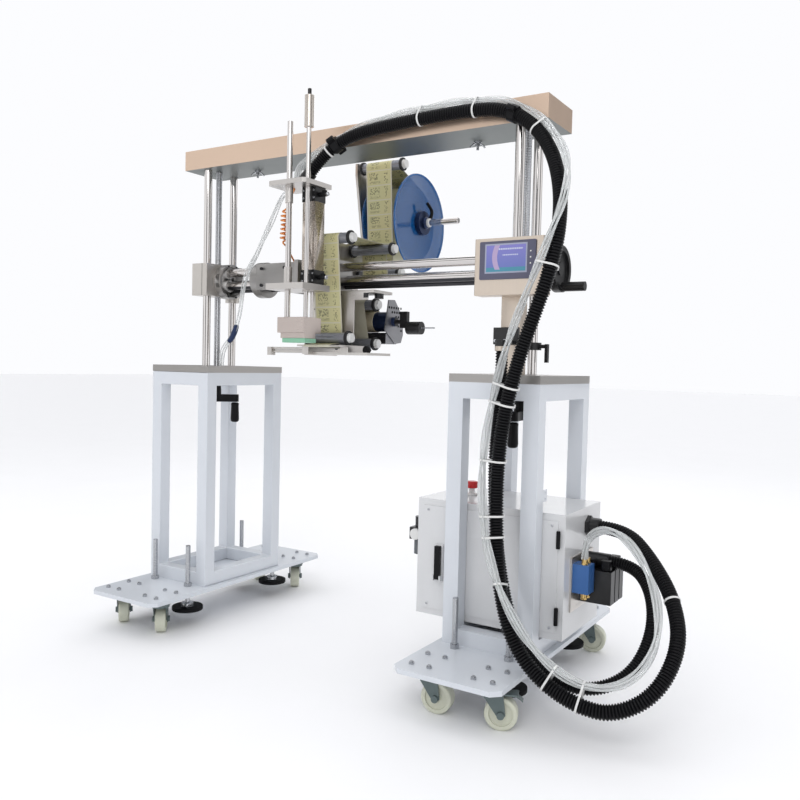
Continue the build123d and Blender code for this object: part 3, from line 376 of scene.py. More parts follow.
# Painted shade: dark grey for the cross beam's bottom face, standing for the shade under the beam
UNDERSIDE_SHADE = Finish(
    "beam_underside_shade", (0.17, 0.185, 0.18), 0.4, 0.8, ROLLED_X, 0.08, 0.00001, 0.1, 0.04
)
DECK_PLATE = Finish(
    "deck_plate", (0.365, 0.35, 0.335), 0.36, 0.8, ROLLED_X, 0.06, 0.00001, 0.1, 0.03
)
ALUMINIUM = Finish(
    "satin_aluminium", (0.58, 0.55, 0.515), 0.32, 0.9, (900, 900, 30), 0.06, 0.000006, 0.12, 0.04
)
ALUMINIUM_X = Finish(
    "brushed_aluminium", (0.56, 0.535, 0.51), 0.30, 0.9, BRUSHED_X, 0.06, 0.000006, 0.12, 0.04
)
SLIDE_GREY = Finish(
    "slide_grey", (0.33, 0.32, 0.31), 0.34, 0.85, BRUSHED_X, 0.08, 0.000006, 0.12, 0.05
)
MILLED = Finish(
    "milled_aluminium", (0.60, 0.54, 0.48), 0.27, 0.92, (200, 30, 200), 0.03, 0.000002, 0.08, 0.03
)
BLOCK_SILVER = Finish(
    "block_silver", (0.52, 0.455, 0.42), 0.30, 0.9, BRUSHED_X, 0.05, 0.000005, 0.1, 0.03
)
ROLLER_GREY = Finish("roller_grey", (0.24, 0.25, 0.28), 0.28, 0.4, DRAWN_X, 0.06, 0.00002)
WHITE_PLASTIC = Finish("white_plastic", (0.70, 0.70, 0.69), 0.36, 0.0, EVEN_GRAIN, 0.03, 0.00002)
CABINET_GREY = Finish(
    "cabinet_grey", (0.64, 0.645, 0.655), 0.24, 0.0, (260, 260, 260), 0.02, 0.00004, 0.06, 0.03
)
RED_PLASTIC = Finish("red_plastic", (0.50, 0.010, 0.010), 0.28, 0.0, EVEN_GRAIN, 0.05, 0.00002)
VALVE_BLUE = Finish("valve_blue", (0.04, 0.13, 0.36), 0.34, 0.2, EVEN_GRAIN, 0.08, 0.00003)
BRASS = Finish("brass", (0.60, 0.42, 0.17), 0.24, 1.0, (600, 600, 600), 0.08, 0.00002)
COPPER = Finish("copper_fitting", (0.70, 0.27, 0.09), 0.28, 0.9, (600, 600, 600), 0.08, 0.00002)
HOSE_BLACK = Finish("hose_black", (0.005, 0.005, 0.006), 0.34, 0.0, EVEN_GRAIN, 0.15, 0.00002)
DARK_BLUE = Finish("dark_blue_anodised", (0.02, 0.035, 0.09), 0.30, 0.6, DRAWN_X, 0.1, 0.00001)
LINER_TAN = Finish("liner_tan", (0.50, 0.44, 0.31), 0.38, 0.0, (60, 400, 400), 0.06, 0.00001)
GREEN_PAD = Finish("green_pad", (0.22, 0.47, 0.32), 0.42, 0.0, FINE_GRAIN, 0.14, 0.00005)
SILENCER = Finish("silencer_steel", (0.58, 0.53, 0.48), 0.24, 0.95, (400, 400, 40), 0.06, 0.000004)


@dataclass(frozen=True)
class Region:
    """Part of space that shows a finish of its own: a box, or a ring round an axis."""

    x: Pair = (-9.0, 9.0)
    y: Pair = (-9.0, 9.0)
    z: Pair = (-9.0, 9.0)
    ring: tuple[Axis, Pair, Pair] | None = None

    def mask(self, board: Board) -> Wire:
        """One inside the region: the product of its spans and, for a ring, of its radii."""
        product: Wire | None = None
        for wire, (low, high) in zip((board.x, board.y, board.z), (self.x, self.y, self.z)):
            if (low, high) != (-9.0, 9.0):
                span = wire.between(low, high)
                product = span if product is None else product * span
        if self.ring is not None:
            axis, centre, (inner, outer) = self.ring
            wires = [
                w for place, w in enumerate((board.x, board.y, board.z)) if place != axis.value
            ]
            reach = ((wires[0] - centre[0]) ** 2 + (wires[1] - centre[1]) ** 2) ** 0.5
            span = reach.between(inner, outer)
            product = span if product is None else product * span
        return product


@dataclass(frozen=True)
class Coat:
    """Full look of a piece: main finish, regions that differ, and the shader's constants."""

    main: Finish
    regions: tuple[tuple[Region, Finish], ...] = ()
    constants: tuple[tuple[str, float], ...] = ()

    def material(self, name: str) -> bpy.types.Material:
        """The material of that name, with each region merged over the main finish in order."""
        board = Board(name)
        tone = self.main.tone(board)
        for region, finish in self.regions:
            tone = board.merged(region.mask(board), tone, finish.tone(board))
        return board.finish(tone, **{"Specular_IOR_Level": self.main.gloss, **dict(self.constants)})


@dataclass
class Shape:
    """Points and faces of a mesh before it becomes a piece."""

    points: np.ndarray
    faces: list[np.ndarray]

    def __add__(self, other: "Shape") -> "Shape":
        """Both shapes in one mesh."""
        shift = len(self.points)
        return Shape(
            np.vstack([self.points, other.points]),
            self.faces + [faces + shift for faces in other.faces],
        )

    def placed(
        self, origin: Triple, along: Triple = (0, 0, 1), across: Triple | None = None
    ) -> "Shape":
        """The shape moved from its own frame.

        Args:
            origin: where its origin goes.
            along: where its Z goes.
            across: where its X goes, or about there.

        Returns:
            The moved shape: every point is origin + x*side + y*up + z*along.
        """
        z_axis = np.asarray(along, float)
        z_axis = z_axis / np.linalg.norm(z_axis)
        guess = np.asarray(
            across if across is not None else ((1, 0, 0) if abs(z_axis[0]) < 0.9 else (0, 1, 0)),
            float,
        )
        x_axis = guess - guess @ z_axis * z_axis
        x_axis = x_axis / np.linalg.norm(x_axis)
        y_axis = np.cross(z_axis, x_axis)
        return Shape(
            self.points @ np.vstack([x_axis, y_axis, z_axis]) + np.asarray(origin, float),
            self.faces,
        )

    def repeated(
        self, origins: Iterable[Triple], along: Triple = (0, 0, 1), across: Triple | None = None
    ) -> "Shape":
        """Copies of the shape at several origins, all turned the same way."""
        return joined([self.placed(origin, along, across) for origin in origins])


def joined(shapes: Sequence[Shape]) -> Shape:
    """All shapes in one."""
    total = shapes[0]
    for shape in shapes[1:]:
        total = total + shape
    return total


def surface(points: np.ndarray, closed_u: bool = False, capped: bool = True) -> Shape:
    """Surface over a grid of points whose second direction closes on itself.

    Args:
        points: array of rows, columns and three coordinates.
        closed_u: whether the rows close on themselves too.
        capped: whether the first and last row are closed with a face.

    Returns:
        The surface: each face joins the points (u, v), (u+1, v), (u+1, v+1) and (u, v+1).
    """
    rows, columns = points.shape[:2]
    index = np.arange(rows * columns).reshape(rows, columns)
    if closed_u:
        index = np.vstack([index, index[:1]])
    wrapped = np.hstack([index, index[:, :1]])
    quads = np.stack(
        [wrapped[:-1, :-1], wrapped[1:, :-1], wrapped[1:, 1:], wrapped[:-1, 1:]], -1
    ).reshape(-1, 4)
    faces = [quads]
    if capped and not closed_u:
        faces += [index[:1, ::-1].copy(), index[-1:].copy()]
    return Shape(points.reshape(-1, 3), faces)


def turned(profile: Sequence[Pair], sides: int = 24) -> Shape:
    """Surface of revolution about Z: (r cos a, r sin a, h) for each profile point and angle."""
    table = np.asarray(profile, float)
    angle = np.linspace(0, 2 * pi, sides, endpoint=False)
    radius, height = table[:, 0, None], table[:, 1, None]
    grid = np.stack([radius * np.cos(angle), radius * np.sin(angle), height + 0 * angle], -1)
    return surface(grid)


def prism(outline: Sequence[Pair], low: float, high: float) -> Shape:
    """Upright prism: the outline at two heights, closed at both ends."""
    flat = np.asarray(outline, float)
    rows = [np.column_stack([flat, np.full(len(flat), level)]) for level in (low, high)]
    return surface(np.stack(rows))


def slab(low: Triple, high: Triple, round_by: float = 0.0) -> Shape:
    """Box between two corners, with its upright edges cut back by a small flat."""
    (x0, y0, z0), (x1, y1, z1) = low, high
    r = round_by
    if r <= 0:
        return prism([(x0, y0), (x1, y0), (x1, y1), (x0, y1)], z0, z1)
    outline = [
        (x0 + r, y0),
        (x1 - r, y0),
        (x1, y0 + r),
        (x1, y1 - r),
        (x1 - r, y1),
        (x0 + r, y1),
        (x0, y1 - r),
        (x0, y0 + r),
    ]
    return prism(outline, z0, z1)


def frames(path: np.ndarray) -> tuple[np.ndarray, np.ndarray]:
    """Two unit vectors across a path at each of its points.

    The reference is the direction of a spread of 200 that the path runs least along, and the
    vectors are its cross products with the path's heading.
    """
    heading = np.gradient(path, axis=0)
    heading /= np.linalg.norm(heading, axis=1, keepdims=True)
    step = np.arange(200) + 0.5
    rise = 1 - 2 * step / 200
    swing = pi * (1 + 5**0.5) * step
    spread = np.column_stack(
        [np.cos(swing) * np.sqrt(1 - rise**2), np.sin(swing) * np.sqrt(1 - rise**2), rise]
    )
    worst = np.abs(heading @ spread.T).max(axis=0)
    reference = spread[worst.argmin()]
    side = np.cross(heading, reference)
    side /= np.linalg.norm(side, axis=1, keepdims=True)
    return side, np.cross(heading, side)


def carried(path: np.ndarray, radius: np.ndarray | float, sides: int = 16) -> Shape:
    """Round section carried along a path: path + r (side cos a + up sin a)."""
    side, up = frames(path)
    angle = np.linspace(0, 2 * pi, sides, endpoint=False)
    reach = np.broadcast_to(np.asarray(radius, float), (len(path),))[:, None, None]
    ring = side[:, None] * np.cos(angle)[:, None] + up[:, None] * np.sin(angle)[:, None]
    return surface(path[:, None] + reach * ring)


def spaced(path: np.ndarray, step: float) -> np.ndarray:
    """The path with its points at even steps of its length, found by linear interpolation."""
    length = np.concatenate([[0], np.cumsum(np.linalg.norm(np.diff(path, axis=0), axis=1))])
    places = np.linspace(0, length[-1], max(3, round(length[-1] / step) + 1))
    return np.column_stack([np.interp(places, length, path[:, axis]) for axis in range(3)])


def threaded(
    radius: float, low: float, high: float, lead: float, depth: float, sides: int = 14
) -> Shape:
    """Screw thread along Z.

    The radius falls by the depth where the height over the lead, less the turn, is far from
    the middle of its fraction.
    """
    rows = int((high - low) / lead * 4) + 1
    height = np.linspace(low, high, rows)[:, None]
    angle = np.linspace(0, 2 * pi, sides, endpoint=False)[None, :]
    phase = (height / lead - angle / (2 * pi)) % 1.0
    reach = radius - depth * np.clip(np.abs(phase - 0.5) * 4 - 0.6, 0, 1)
    grid = np.stack([reach * np.cos(angle), reach * np.sin(angle), height + 0 * angle], -1)
    return surface(grid)


def cap_screw(radius: float, height: float) -> Shape:
    """Socket head along Z: a rounded rim round a recess."""
    r, h = radius, height
    return turned(
        [
            (r * 0.9, 0),
            (r, h * 0.1),
            (r, h * 0.85),
            (r * 0.88, h),
            (r * 0.55, h),
            (r * 0.5, h * 0.5),
        ], 14
    )


def hex_head(radius: float, height: float) -> Shape:
    """Hexagon head along Z with a chamfered top."""
    r, h = radius, height
    return turned([(r, 0), (r, h * 0.85), (r * 0.88, h)], 6)


class Piece:
    """Makes pieces from shapes and solids, and fastens them to the machine."""

    def __init__(self, frame: dict) -> None:
        """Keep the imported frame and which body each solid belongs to."""
        self.nodes = frame["nodes"]
        bodies = frame["record"]["behaviour"]["bodies"]
        self.body_of = {node: body for body, members in bodies.items() for node in members}
        self.slot_of = {part["node"]: part["material_slot"] for part in frame["record"]["subparts"]}
        self.looks: dict[str, bpy.types.Material] = {}

    def material(self, name: str, coat: Coat) -> bpy.types.Material:
        """The coat's material, made once for each name."""
        if name not in self.looks:
            self.looks[name] = coat.material(name)
        return self.looks[name]

    def add(
        self,
        name: str,
        shape: Shape,
        body: str,
        look: bpy.types.Material,
        slot: str,
        bevel: float = 0.0,
        smooth: float = 35.0,
        heights: Pair | None = None,
    ) -> bpy.types.Object:
        """Turn a shape into a piece of the machine.

        Args:
            name: the piece's name.
            shape: its mesh.
            body: the body that it rides on.
            look: its material.
            slot: the record's slot of its finish; not used.
            bevel: width of its broken edges, or none.
            smooth: angle in degrees under which neighbouring faces shade as one.
            heights: for what hangs between the body and the lift carriage: when given, the piece
                keeps its place in the world and rides on no body.

        Returns:
            The piece.
        """
        mesh = bpy.data.meshes.new(name)
        mesh.from_pydata(
            shape.points.tolist(), [], [face for faces in shape.faces for face in faces.tolist()]
        )
        closed = bmesh.new()
        closed.from_mesh(mesh)
        bmesh.ops.recalc_face_normals(closed, faces=closed.faces)
        closed.to_mesh(mesh)
        closed.free()
        piece = bpy.data.objects.new(name, mesh)
        bpy.context.scene.collection.objects.link(piece)
        return self.dress(piece, body, look, bevel, smooth, heights)

    def dress(
        self,
        piece: bpy.types.Object,
        body: str,
        look: bpy.types.Material,
        bevel: float,
        smooth: float,
        heights: Pair | None = None,
    ) -> bpy.types.Object:
        """Give a piece its shading, broken edges and material, fasten it to its body unless it
        hangs, and return it.
        """
        mesh = piece.data
        mesh.materials.clear()
        mesh.materials.append(look)
        mesh.shade_smooth()
        mesh.set_sharp_from_angle(angle=radians(smooth))
        if bevel > 0:
            edge = piece.modifiers.new("edge", "BEVEL")
            edge.width = bevel
            edge.segments = 2
            edge.limit_method = "ANGLE"
            edge.angle_limit = radians(smooth)
            edge.harden_normals = True
        if heights:
            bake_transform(piece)
        else:
            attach(piece, body)
        log.info("piece %s on %s", piece.name, body)
        return piece

    def solid(self, node: str, coat: Coat, bevel: float = 0.0008) -> bpy.types.Object:
        """Show a solid with broken edges: a merged copy of its mesh stands for it.

        Args:
            node: the solid's name.
            coat: its look.
            bevel: width of the broken edges.

        Returns:
            The piece that stands for the solid.
        """
        mesh = self.nodes[node].data.copy()
        mesh.name = f"{node}_skin"
        copy = bmesh.new()
        copy.from_mesh(mesh)
        bmesh.ops.remove_doubles(copy, verts=copy.verts, dist=0.00001)
        if bevel > 0:
            bmesh.ops.dissolve_limit(
                copy, angle_limit=radians(0.6), verts=copy.verts, edges=copy.edges
            )
        copy.to_mesh(mesh)
        copy.free()
        piece = bpy.data.objects.new(f"{node}_skin", mesh)
        bpy.context.scene.collection.objects.link(piece)
        look = self.material(f"{coat.main.name}_{node}" if coat.regions else coat.main.name, coat)
        self.dress(piece, self.body_of[node], look, bevel, 32.0)
        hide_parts(node)
        return piece


@dataclass
class Studio:
    """Camera, floor and soft light."""

    place: Triple = (1.3778, -1.9386, 0.8068)
    swing: float = 32.04
    pitch: float = 2.55
    roll: float = 1.37
    lens: float = 36.705
    floor_reach: float = 30.0
    bands: float = 5.0
    band_turn: float = 1.83
    band_power: float = 3.0
    level_rise: float = 0.42
    level_fall: float = 90.0
    bands_top: float = 0.62
    band_depth: float = 0.92
    glow: float = 1.3

    def camera(self) -> None:
        """Set the camera from its place and its three angles."""
        a, p, r = radians(self.swing), radians(self.pitch), radians(self.roll)
        back = np.array([sin(a) * cos(p), -cos(a) * cos(p), sin(p)])
        right = np.cross(-back, (0, 0, 1))
        right /= np.linalg.norm(right)
        up = np.cross(right, -back)
        side = cos(r) * right + sin(r) * up
        rise = -sin(r) * right + cos(r) * up
        data = bpy.data.cameras.new("camera")
        data.sensor_width = 36
        data.lens = self.lens
        data.clip_end = 60
        camera = bpy.data.objects.new("camera", data)
        matrix = Matrix.Identity(4)
        for row in range(3):
            matrix[row][0], matrix[row][1], matrix[row][2] = side[row], rise[row], back[row]
            matrix[row][3] = self.place[row]
        camera.matrix_world = matrix
        bpy.context.scene.collection.objects.link(camera)
        bpy.context.scene.camera = camera

    def light(self, name: str, place: Triple, target: Triple, size: float, power: float) -> None:
        """Add one soft square lamp that looks at a point."""
        data = bpy.data.lights.new(name, "AREA")
        data.shape = "SQUARE"
        data.size = size
        data.energy = power
        lamp = bpy.data.objects.new(name, data)
        back = np.asarray(place, float) - np.asarray(target, float)
        back /= np.linalg.norm(back)
        side = np.cross((0, 0, 1), back)
        side /= np.linalg.norm(side)
        rise = np.cross(back, side)
        matrix = Matrix.Identity(4)
        for row in range(3):
            matrix[row][0], matrix[row][1], matrix[row][2] = side[row], rise[row], back[row]
            matrix[row][3] = place[row]
        lamp.matrix_world = matrix
        bpy.context.scene.collection.objects.link(lamp)

    def sky(self) -> None:
        """White sky. What it lights has upright dark bands in it, which bright metal mirrors.

        A band is a high power of the sine of the heading, and a level one stands above them.
        """
        world = bpy.data.worlds.new("studio_sky")
        world.use_nodes = True
        tree = world.node_tree
        background = tree.nodes["Background"]

        def step(operation: str, *terms: object) -> bpy.types.NodeSocket:
            """One Math node over links and numbers, and its result."""
            node = tree.nodes.new("ShaderNodeMath")
            node.operation = operation
            for place, term in enumerate(terms):
                if isinstance(term, bpy.types.NodeSocket):
                    tree.links.new(term, node.inputs[place])
                else:
                    node.inputs[place].default_value = term
            return node.outputs[0]

        parts = tree.nodes.new("ShaderNodeSeparateXYZ")
        tree.links.new(tree.nodes.new("ShaderNodeTexCoord").outputs["Generated"], parts.inputs[0])
        heading = step("ARCTAN2", parts.outputs[1], parts.outputs[0])
        wave = step("SINE", step("MULTIPLY_ADD", heading, self.bands, self.band_turn))
        upright = step("POWER", step("MULTIPLY_ADD", wave, 0.5, 0.5), self.band_power)
        above = step("SUBTRACT", parts.outputs[2], self.level_rise)
        fall = step("MULTIPLY", step("MULTIPLY", above, above), -self.level_fall)
        level = step("POWER", 2.718, fall)
        banded = step("MAXIMUM", upright, level)
        dark = step("MULTIPLY", banded, step("LESS_THAN", parts.outputs[2], self.bands_top))
        lit = step("MULTIPLY_ADD", dark, -self.band_depth * self.glow, self.glow)
        seen = tree.nodes.new("ShaderNodeLightPath").outputs["Is Camera Ray"]
        plain_part = step("MULTIPLY", lit, step("SUBTRACT", 1.0, seen))
        tree.links.new(step("ADD", plain_part, seen), background.inputs[1])
        background.inputs[0].default_value = (0.975, 0.98, 1.0, 1)
        bpy.context.scene.world = world

    def build(self) -> None:
        """Camera, floor, sky and lamps."""
        self.camera()
        reach = self.floor_reach
        mesh = bpy.data.meshes.new("studio_floor")
        mesh.from_pydata(
            [(-reach, -reach, 0), (reach, -reach, 0), (reach, reach, 0), (-reach, reach, 0)],
            [],
            [(0, 1, 2, 3)],
        )
        floor = bpy.data.objects.new("studio_floor", mesh)
        bpy.context.scene.collection.objects.link(floor)
        board = Board("studio_floor")
        haze = board.noise((3, 3, 3), 3.0)
        pale = board.shaded((0.92, 0.92, 0.93), 0.985 + haze * 0.03)
        mesh.materials.append(board.finish(Tone(pale, 0.6 + haze * 0.1, 0.0, 0.0)))
        self.sky()
        self.light("key_lamp", (1.6, -3.4, 3.0), (0, 0, 0.8), 1.8, 34)
        self.light("fill_lamp", (-3.2, -1.8, 2.4), (0, 0, 0.8), 2.6, 8)
        self.light("back_lamp", (-1.0, 3.2, 3.0), (0, 0, 0.9), 2.4, 14)
        bpy.context.scene.view_settings.view_transform = "Standard"


# Heights between which a hose hangs from its stand to the lift carriage; a piece given them rides
# on no body
MAIN_HANG: Pair = (0.45, 1.38)
LEFT_HANG: Pair = (0.80, 1.28)


@dataclass
class Hose:
    """Free hose on a smooth line: corrugated, or a bundle of clear tubes."""

    name: str
    node: str
    diameter: float
    route: tuple[Triple, ...]
    stiffness: str
    pitch: float = 0.0068
    strands: int = 0
    spread: float = 1.0
    heights: Pair | None = None

    def line(self) -> np.ndarray:
        """Points along a spline whose control points are the route."""
        data = bpy.data.curves.new(f"{self.name}_line", "CURVE")
        data.dimensions = "3D"
        data.resolution_u = 24
        spline = data.splines.new("NURBS")
        spline.points.add(len(self.route) - 1)
        for point, place in zip(spline.points, self.route):
            point.co = (*[value * MM for value in place], 1)
        spline.order_u = 3
        spline.use_endpoint_u = True
        guide = bpy.data.objects.new(f"{self.name}_line", data)
        mesh = bpy.data.meshes.new_from_object(guide)
        points = np.array([vertex.co for vertex in mesh.vertices], float)
        bpy.data.meshes.remove(mesh)
        bpy.data.objects.remove(guide)
        bpy.data.curves.remove(data)
        return points

    def corrugated(self, line: np.ndarray) -> Shape:
        """Ribbed tube: five rings for each rib, whose radii rise to a round crest and fall."""
        path = spaced(line, self.pitch / 5)
        wave = np.array([1.0, 0.99, 0.90, 0.79, 0.90])
        radius = self.diameter / 2 * wave[np.arange(len(path)) % 5]
        return carried(path, radius, 18)

    def bundle(self, line: np.ndarray) -> Shape:
        """Tubes laid round the line: each is the line plus a small circle that turns slowly."""
        path = spaced(line, 0.008)
        side, up = frames(path)
        length = np.concatenate([[0], np.cumsum(np.linalg.norm(np.diff(path, axis=0), axis=1))])
        tube = self.diameter * 0.165
        reach = self.diameter / 2 * self.spread - tube
        tubes = []
        for strand in range(self.strands):
            angle = 2 * pi * (strand / self.strands + length / 0.9)
            spread = reach * (1 - 0.5 * np.cos(length * 15 + strand * 2.1) ** 2)
            offset = side * (spread * np.cos(angle))[:, None] + up * (spread * np.sin(angle))[
                :, None
            ]
            tubes.append(carried(path + offset, tube, 8))
        return joined(tubes)

    def build(self, maker: Piece, look: bpy.types.Material) -> np.ndarray:
        """Args:
            maker: makes and fastens pieces.
            look: the hose's material.

        Returns:
            Its line.
        """
        line = self.line()
        shape = self.bundle(line) if self.strands else self.corrugated(line)
        slot = maker.slot_of[self.node]
        piece = maker.add(self.name, shape, "base", look, slot, smooth=60.0, heights=self.heights)
        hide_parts(self.node)
        return line


MAIN_ROUTE = (
    (740, 30, 414),
    (805, 30, 414),
    (880, -25, 368),
    (952, -90, 297),
    (988, -170, 220),
    (962, -248, 135),
    (885, -290, 88),
    (804, -298, 94),
    (723, -295, 128),
    (662, -288, 183),
    (622, -273, 258),
    (590, -245, 365),
    (578, -233, 498),
    (581, -232, 614),
    (596, -232, 718),
    (626, -233, 833),
    (661, -230, 934),
    (688, -222, 1022),
    (698, -200, 1112),
    (685, -165, 1215),
    (648, -132, 1312),
    (585, -110, 1390),
    (505, -105, 1434),
    (400, -105, 1443),
    (265, -106, 1440),
    (140, -105, 1434),
    (55, -109, 1424),
    (-18.92, -117.53, 1390.0),
    (-68.25, -125.01, 1334.32),
)

SECOND_ROUTE = (
    (772, 14, 336),
    (830, 14, 336),
    (888, -35, 295),
    (915, -105, 225),
    (898, -178, 150),
    (840, -228, 112),
    (765, -248, 108),
    (695, -248, 138),
    (645, -240, 190),
    (610, -228, 255),
    (580, -208, 345),
    (560, -196, 440),
    (553, -195, 540),
    (555, -195, 640),
    (561, -192, 735),
    (562, -190, 790),
    (562, -190, 842),
)

BUNDLE_ROUTE = (
    (738, -70.5, 353),
    (738, -70.5, 388),
    (757, -77, 418),
    (795, -90, 436),
    (845, -108, 425),
    (898, -138, 378),
    (942, -180, 310),
    (955, -230, 225),
    (912, -270, 155),
    (840, -288, 132),
    (771, -302, 153),
    (701, -312, 208),
    (642, -308, 285),
    (594, -286, 360),
    (560, -262, 450),
    (545, -246, 548),
    (550, -236, 658),
    (566, -227, 763),
    (588, -218, 860),
    (617, -219, 938),
    (654, -230, 1015),
    (692, -242, 1095),
    (713, -216, 1177),
    (708, -178, 1254),
    (670, -140, 1332),
    (604, -110, 1402),
    (521, -98, 1453),
    (408, -97, 1470),
    (265, -98, 1468),
    (128, -97, 1458),
    (15, -95, 1432),
    (-55, -98, 1398),
    (-104, -104, 1378),
    (-128, -112, 1352),
    (-128, -112, 1314),
)

LEFT_ROUTE = (
    (-149, -104, 1293.5),
    (-180, -104, 1293.5),
    (-212, -97, 1262),
    (-250, -91, 1196),
    (-290, -88, 1138),
    (-330, -88, 1080),
    (-352, -88, 1015),
    (-364, -88, 945),
    (-386, -88, 880),
    (-424, -88, 846),
    (-438, -88, 822),
    (-438, -88, 786),
)


@dataclass
class Hoses:
    """The free hoses, their ties and their clips."""

    tie_width: float = 0.0045
    tie_thick: float = 0.0014
    clip_width: float = 0.022
    hose_hold: float = 0.0172
    bundle_hold: float = 0.0084
    bundle_near: float = 0.055
    lug_reach: float = 0.024
    sleeve_z: Pair = (0.862, 0.915)
    main_ties: tuple[float, ...] = (
        0.286,
        0.681,
        0.758,
        0.996,
        1.106,
        1.152,
        1.28,
        1.412,
        1.45,
        1.738,
        2.113,
        2.305,
        2.464,
        2.757,
    )
    clips: tuple[float, ...] = (2.194, 2.732)

    def loop(
        self, circles: Sequence[tuple[np.ndarray, float]], side: np.ndarray, up: np.ndarray
    ) -> np.ndarray:
        """Band round some circles: in each direction, the point that reaches furthest.

        Args:
            circles: centre and radius of each.
            side: first direction of the band's plane.
            up: second direction of the band's plane.

        Returns:
            The band's points.
        """
        angle = np.linspace(0, 2 * pi, 40, endpoint=False)
        ray = np.cos(angle)[:, None] * side + np.sin(angle)[:, None] * up
        reach = np.stack([ray @ centre + radius for centre, radius in circles])
        chosen = reach.argmax(axis=0)
        centres = np.array([centre for centre, _ in circles])[chosen]
        radii = np.array([radius for _, radius in circles])[chosen]
        return centres + radii[:, None] * ray

    def band(self, ring: np.ndarray, heading: np.ndarray, width: float, thick: float) -> Shape:
        """Flat band: the ring pushed out and along by the four corners of its section."""
        outward = ring - ring.mean(axis=0)
        outward /= np.linalg.norm(outward, axis=1, keepdims=True)
        corners = [(0, -1), (1, -1), (1, 1), (0, 1)]
        section = [
            ring + outward * (thick * out) + heading * (width / 2 * along) for out, along in corners
        ]
        return surface(np.stack(section, axis=1), closed_u=True)

    def fasten(self, maker: Piece, lines: dict[str, np.ndarray]) -> None:
        """Put ties and clips round the main hose and what lies against it.

        Args:
            maker: makes and fastens pieces.
            lines: the hoses' lines by name.
        """
        main, bundle = lines["main_hose_tube"], lines["air_tube_bundle"]
        length = np.concatenate([[0], np.cumsum(np.linalg.norm(np.diff(main, axis=0), axis=1))])
        heading = np.gradient(main, axis=0)
        heading /= np.linalg.norm(heading, axis=1, keepdims=True)
        side, up = frames(main)
        ties, clips = [], []
        for group, places in ((ties, self.main_ties), (clips, self.clips)):
            for place in places:
                at = int(np.abs(length - place).argmin())
                near = bundle[np.linalg.norm(bundle - main[at], axis=1).argmin()]
                near = near - (near - main[at]) @ heading[at] * heading[at]
                circles = [(main[at], self.hose_hold)]
                if group is ties and np.linalg.norm(near - main[at]) < self.bundle_near:
                    circles.append((near, self.bundle_hold))
                ring = self.loop(circles, side[at], up[at])
                if group is ties:
                    shape = self.band(ring, heading[at], self.tie_width, self.tie_thick)
                    head = slab((-0.004, -0.0035, -0.004), (0.004, 0.0035, 0.004), 0.0012)
                    knot = ring[8] + (ring[8] - ring.mean(axis=0)) * 0.12
                    shape = shape + head.placed(tuple(knot), tuple(heading[at]), tuple(side[at]))
                else:
                    shape = self.band(ring, heading[at], self.clip_width, 0.004)
                    lug = slab((-0.006, -0.009, -0.011), (0.006, 0.009, 0.011), 0.002)
                    for reach in (self.lug_reach, -self.lug_reach):
                        spot = tuple(main[at] + up[at] * reach)
                        shape = shape + lug.placed(spot, tuple(heading[at]), tuple(side[at]))
                group.append(shape)
        white = maker.material("white_plastic", Coat(WHITE_PLASTIC))
        black = maker.material("black_plastic", Coat(BLACK_PLASTIC))
        maker.add("hose_ties", joined(ties), "base", white, "clear_tube", heights=MAIN_HANG)
        maker.add(
            "hose_clips", joined(clips), "base", black, "hose_black", 0.0006, heights=MAIN_HANG
        )

    def build(self, maker: Piece) -> None:
        """Make the hoses and bundles, and what ties them."""
        rubber = Board("hose_black")
        tone = HOSE_BLACK.tone(rubber)
        black = rubber.finish(tone, Specular_IOR_Level=0.16)
        board = Board("clear_tube")
        clear = Finish("clear_tube", (0.80, 0.82, 0.82), 0.10, 0.0, (300, 300, 300), 0.06, 0.00001)
        glassy = board.finish(
            clear.tone(board), Transmission_Weight=0.5, Alpha=0.66, IOR=1.45, Coat_Weight=0.7
        )
        lines = {}
        for hose in (
            Hose("main_hose_tube", "main_hose", 0.034, MAIN_ROUTE, "medium", heights=MAIN_HANG),
            Hose("second_hose_tube", "second_hose", 0.030, SECOND_ROUTE, "medium"),
            Hose(
                "air_tube_bundle",
                "air_tubes",
                0.016,
                BUNDLE_ROUTE,
                "medium",
                strands=6,
                spread=1.45,
                heights=MAIN_HANG,
            ),
            Hose(
                "left_tube_bundle",
                "air_tubes",
                0.012,
                LEFT_ROUTE,
                "medium",
                strands=4,
                spread=1.58,
                heights=LEFT_HANG,
            ),
        ):
            lines[hose.name] = hose.build(maker, glassy if hose.strands else black)
        self.fasten(maker, lines)
        self.sleeve(maker, lines["left_tube_bundle"])

    def sleeve(self, maker: Piece, line: np.ndarray) -> None:
        """Dark joining sleeve round the left bundle: a swollen section carried along its line."""
        part = spaced(
            line[(line[:, 2] < self.sleeve_z[1]) & (line[:, 2] > self.sleeve_z[0])], 0.003
        )
        step = np.linspace(0, 1, len(part))
        radius = 0.0068 + 0.0022 * np.sin(step * pi) ** 0.5
        look = maker.material("dark_blue_anodised", Coat(DARK_BLUE))
        maker.add(
            "tube_sleeve",
            carried(part, radius, 14),
            "base",
            look,
            "black_plastic",
            heights=LEFT_HANG,
        )


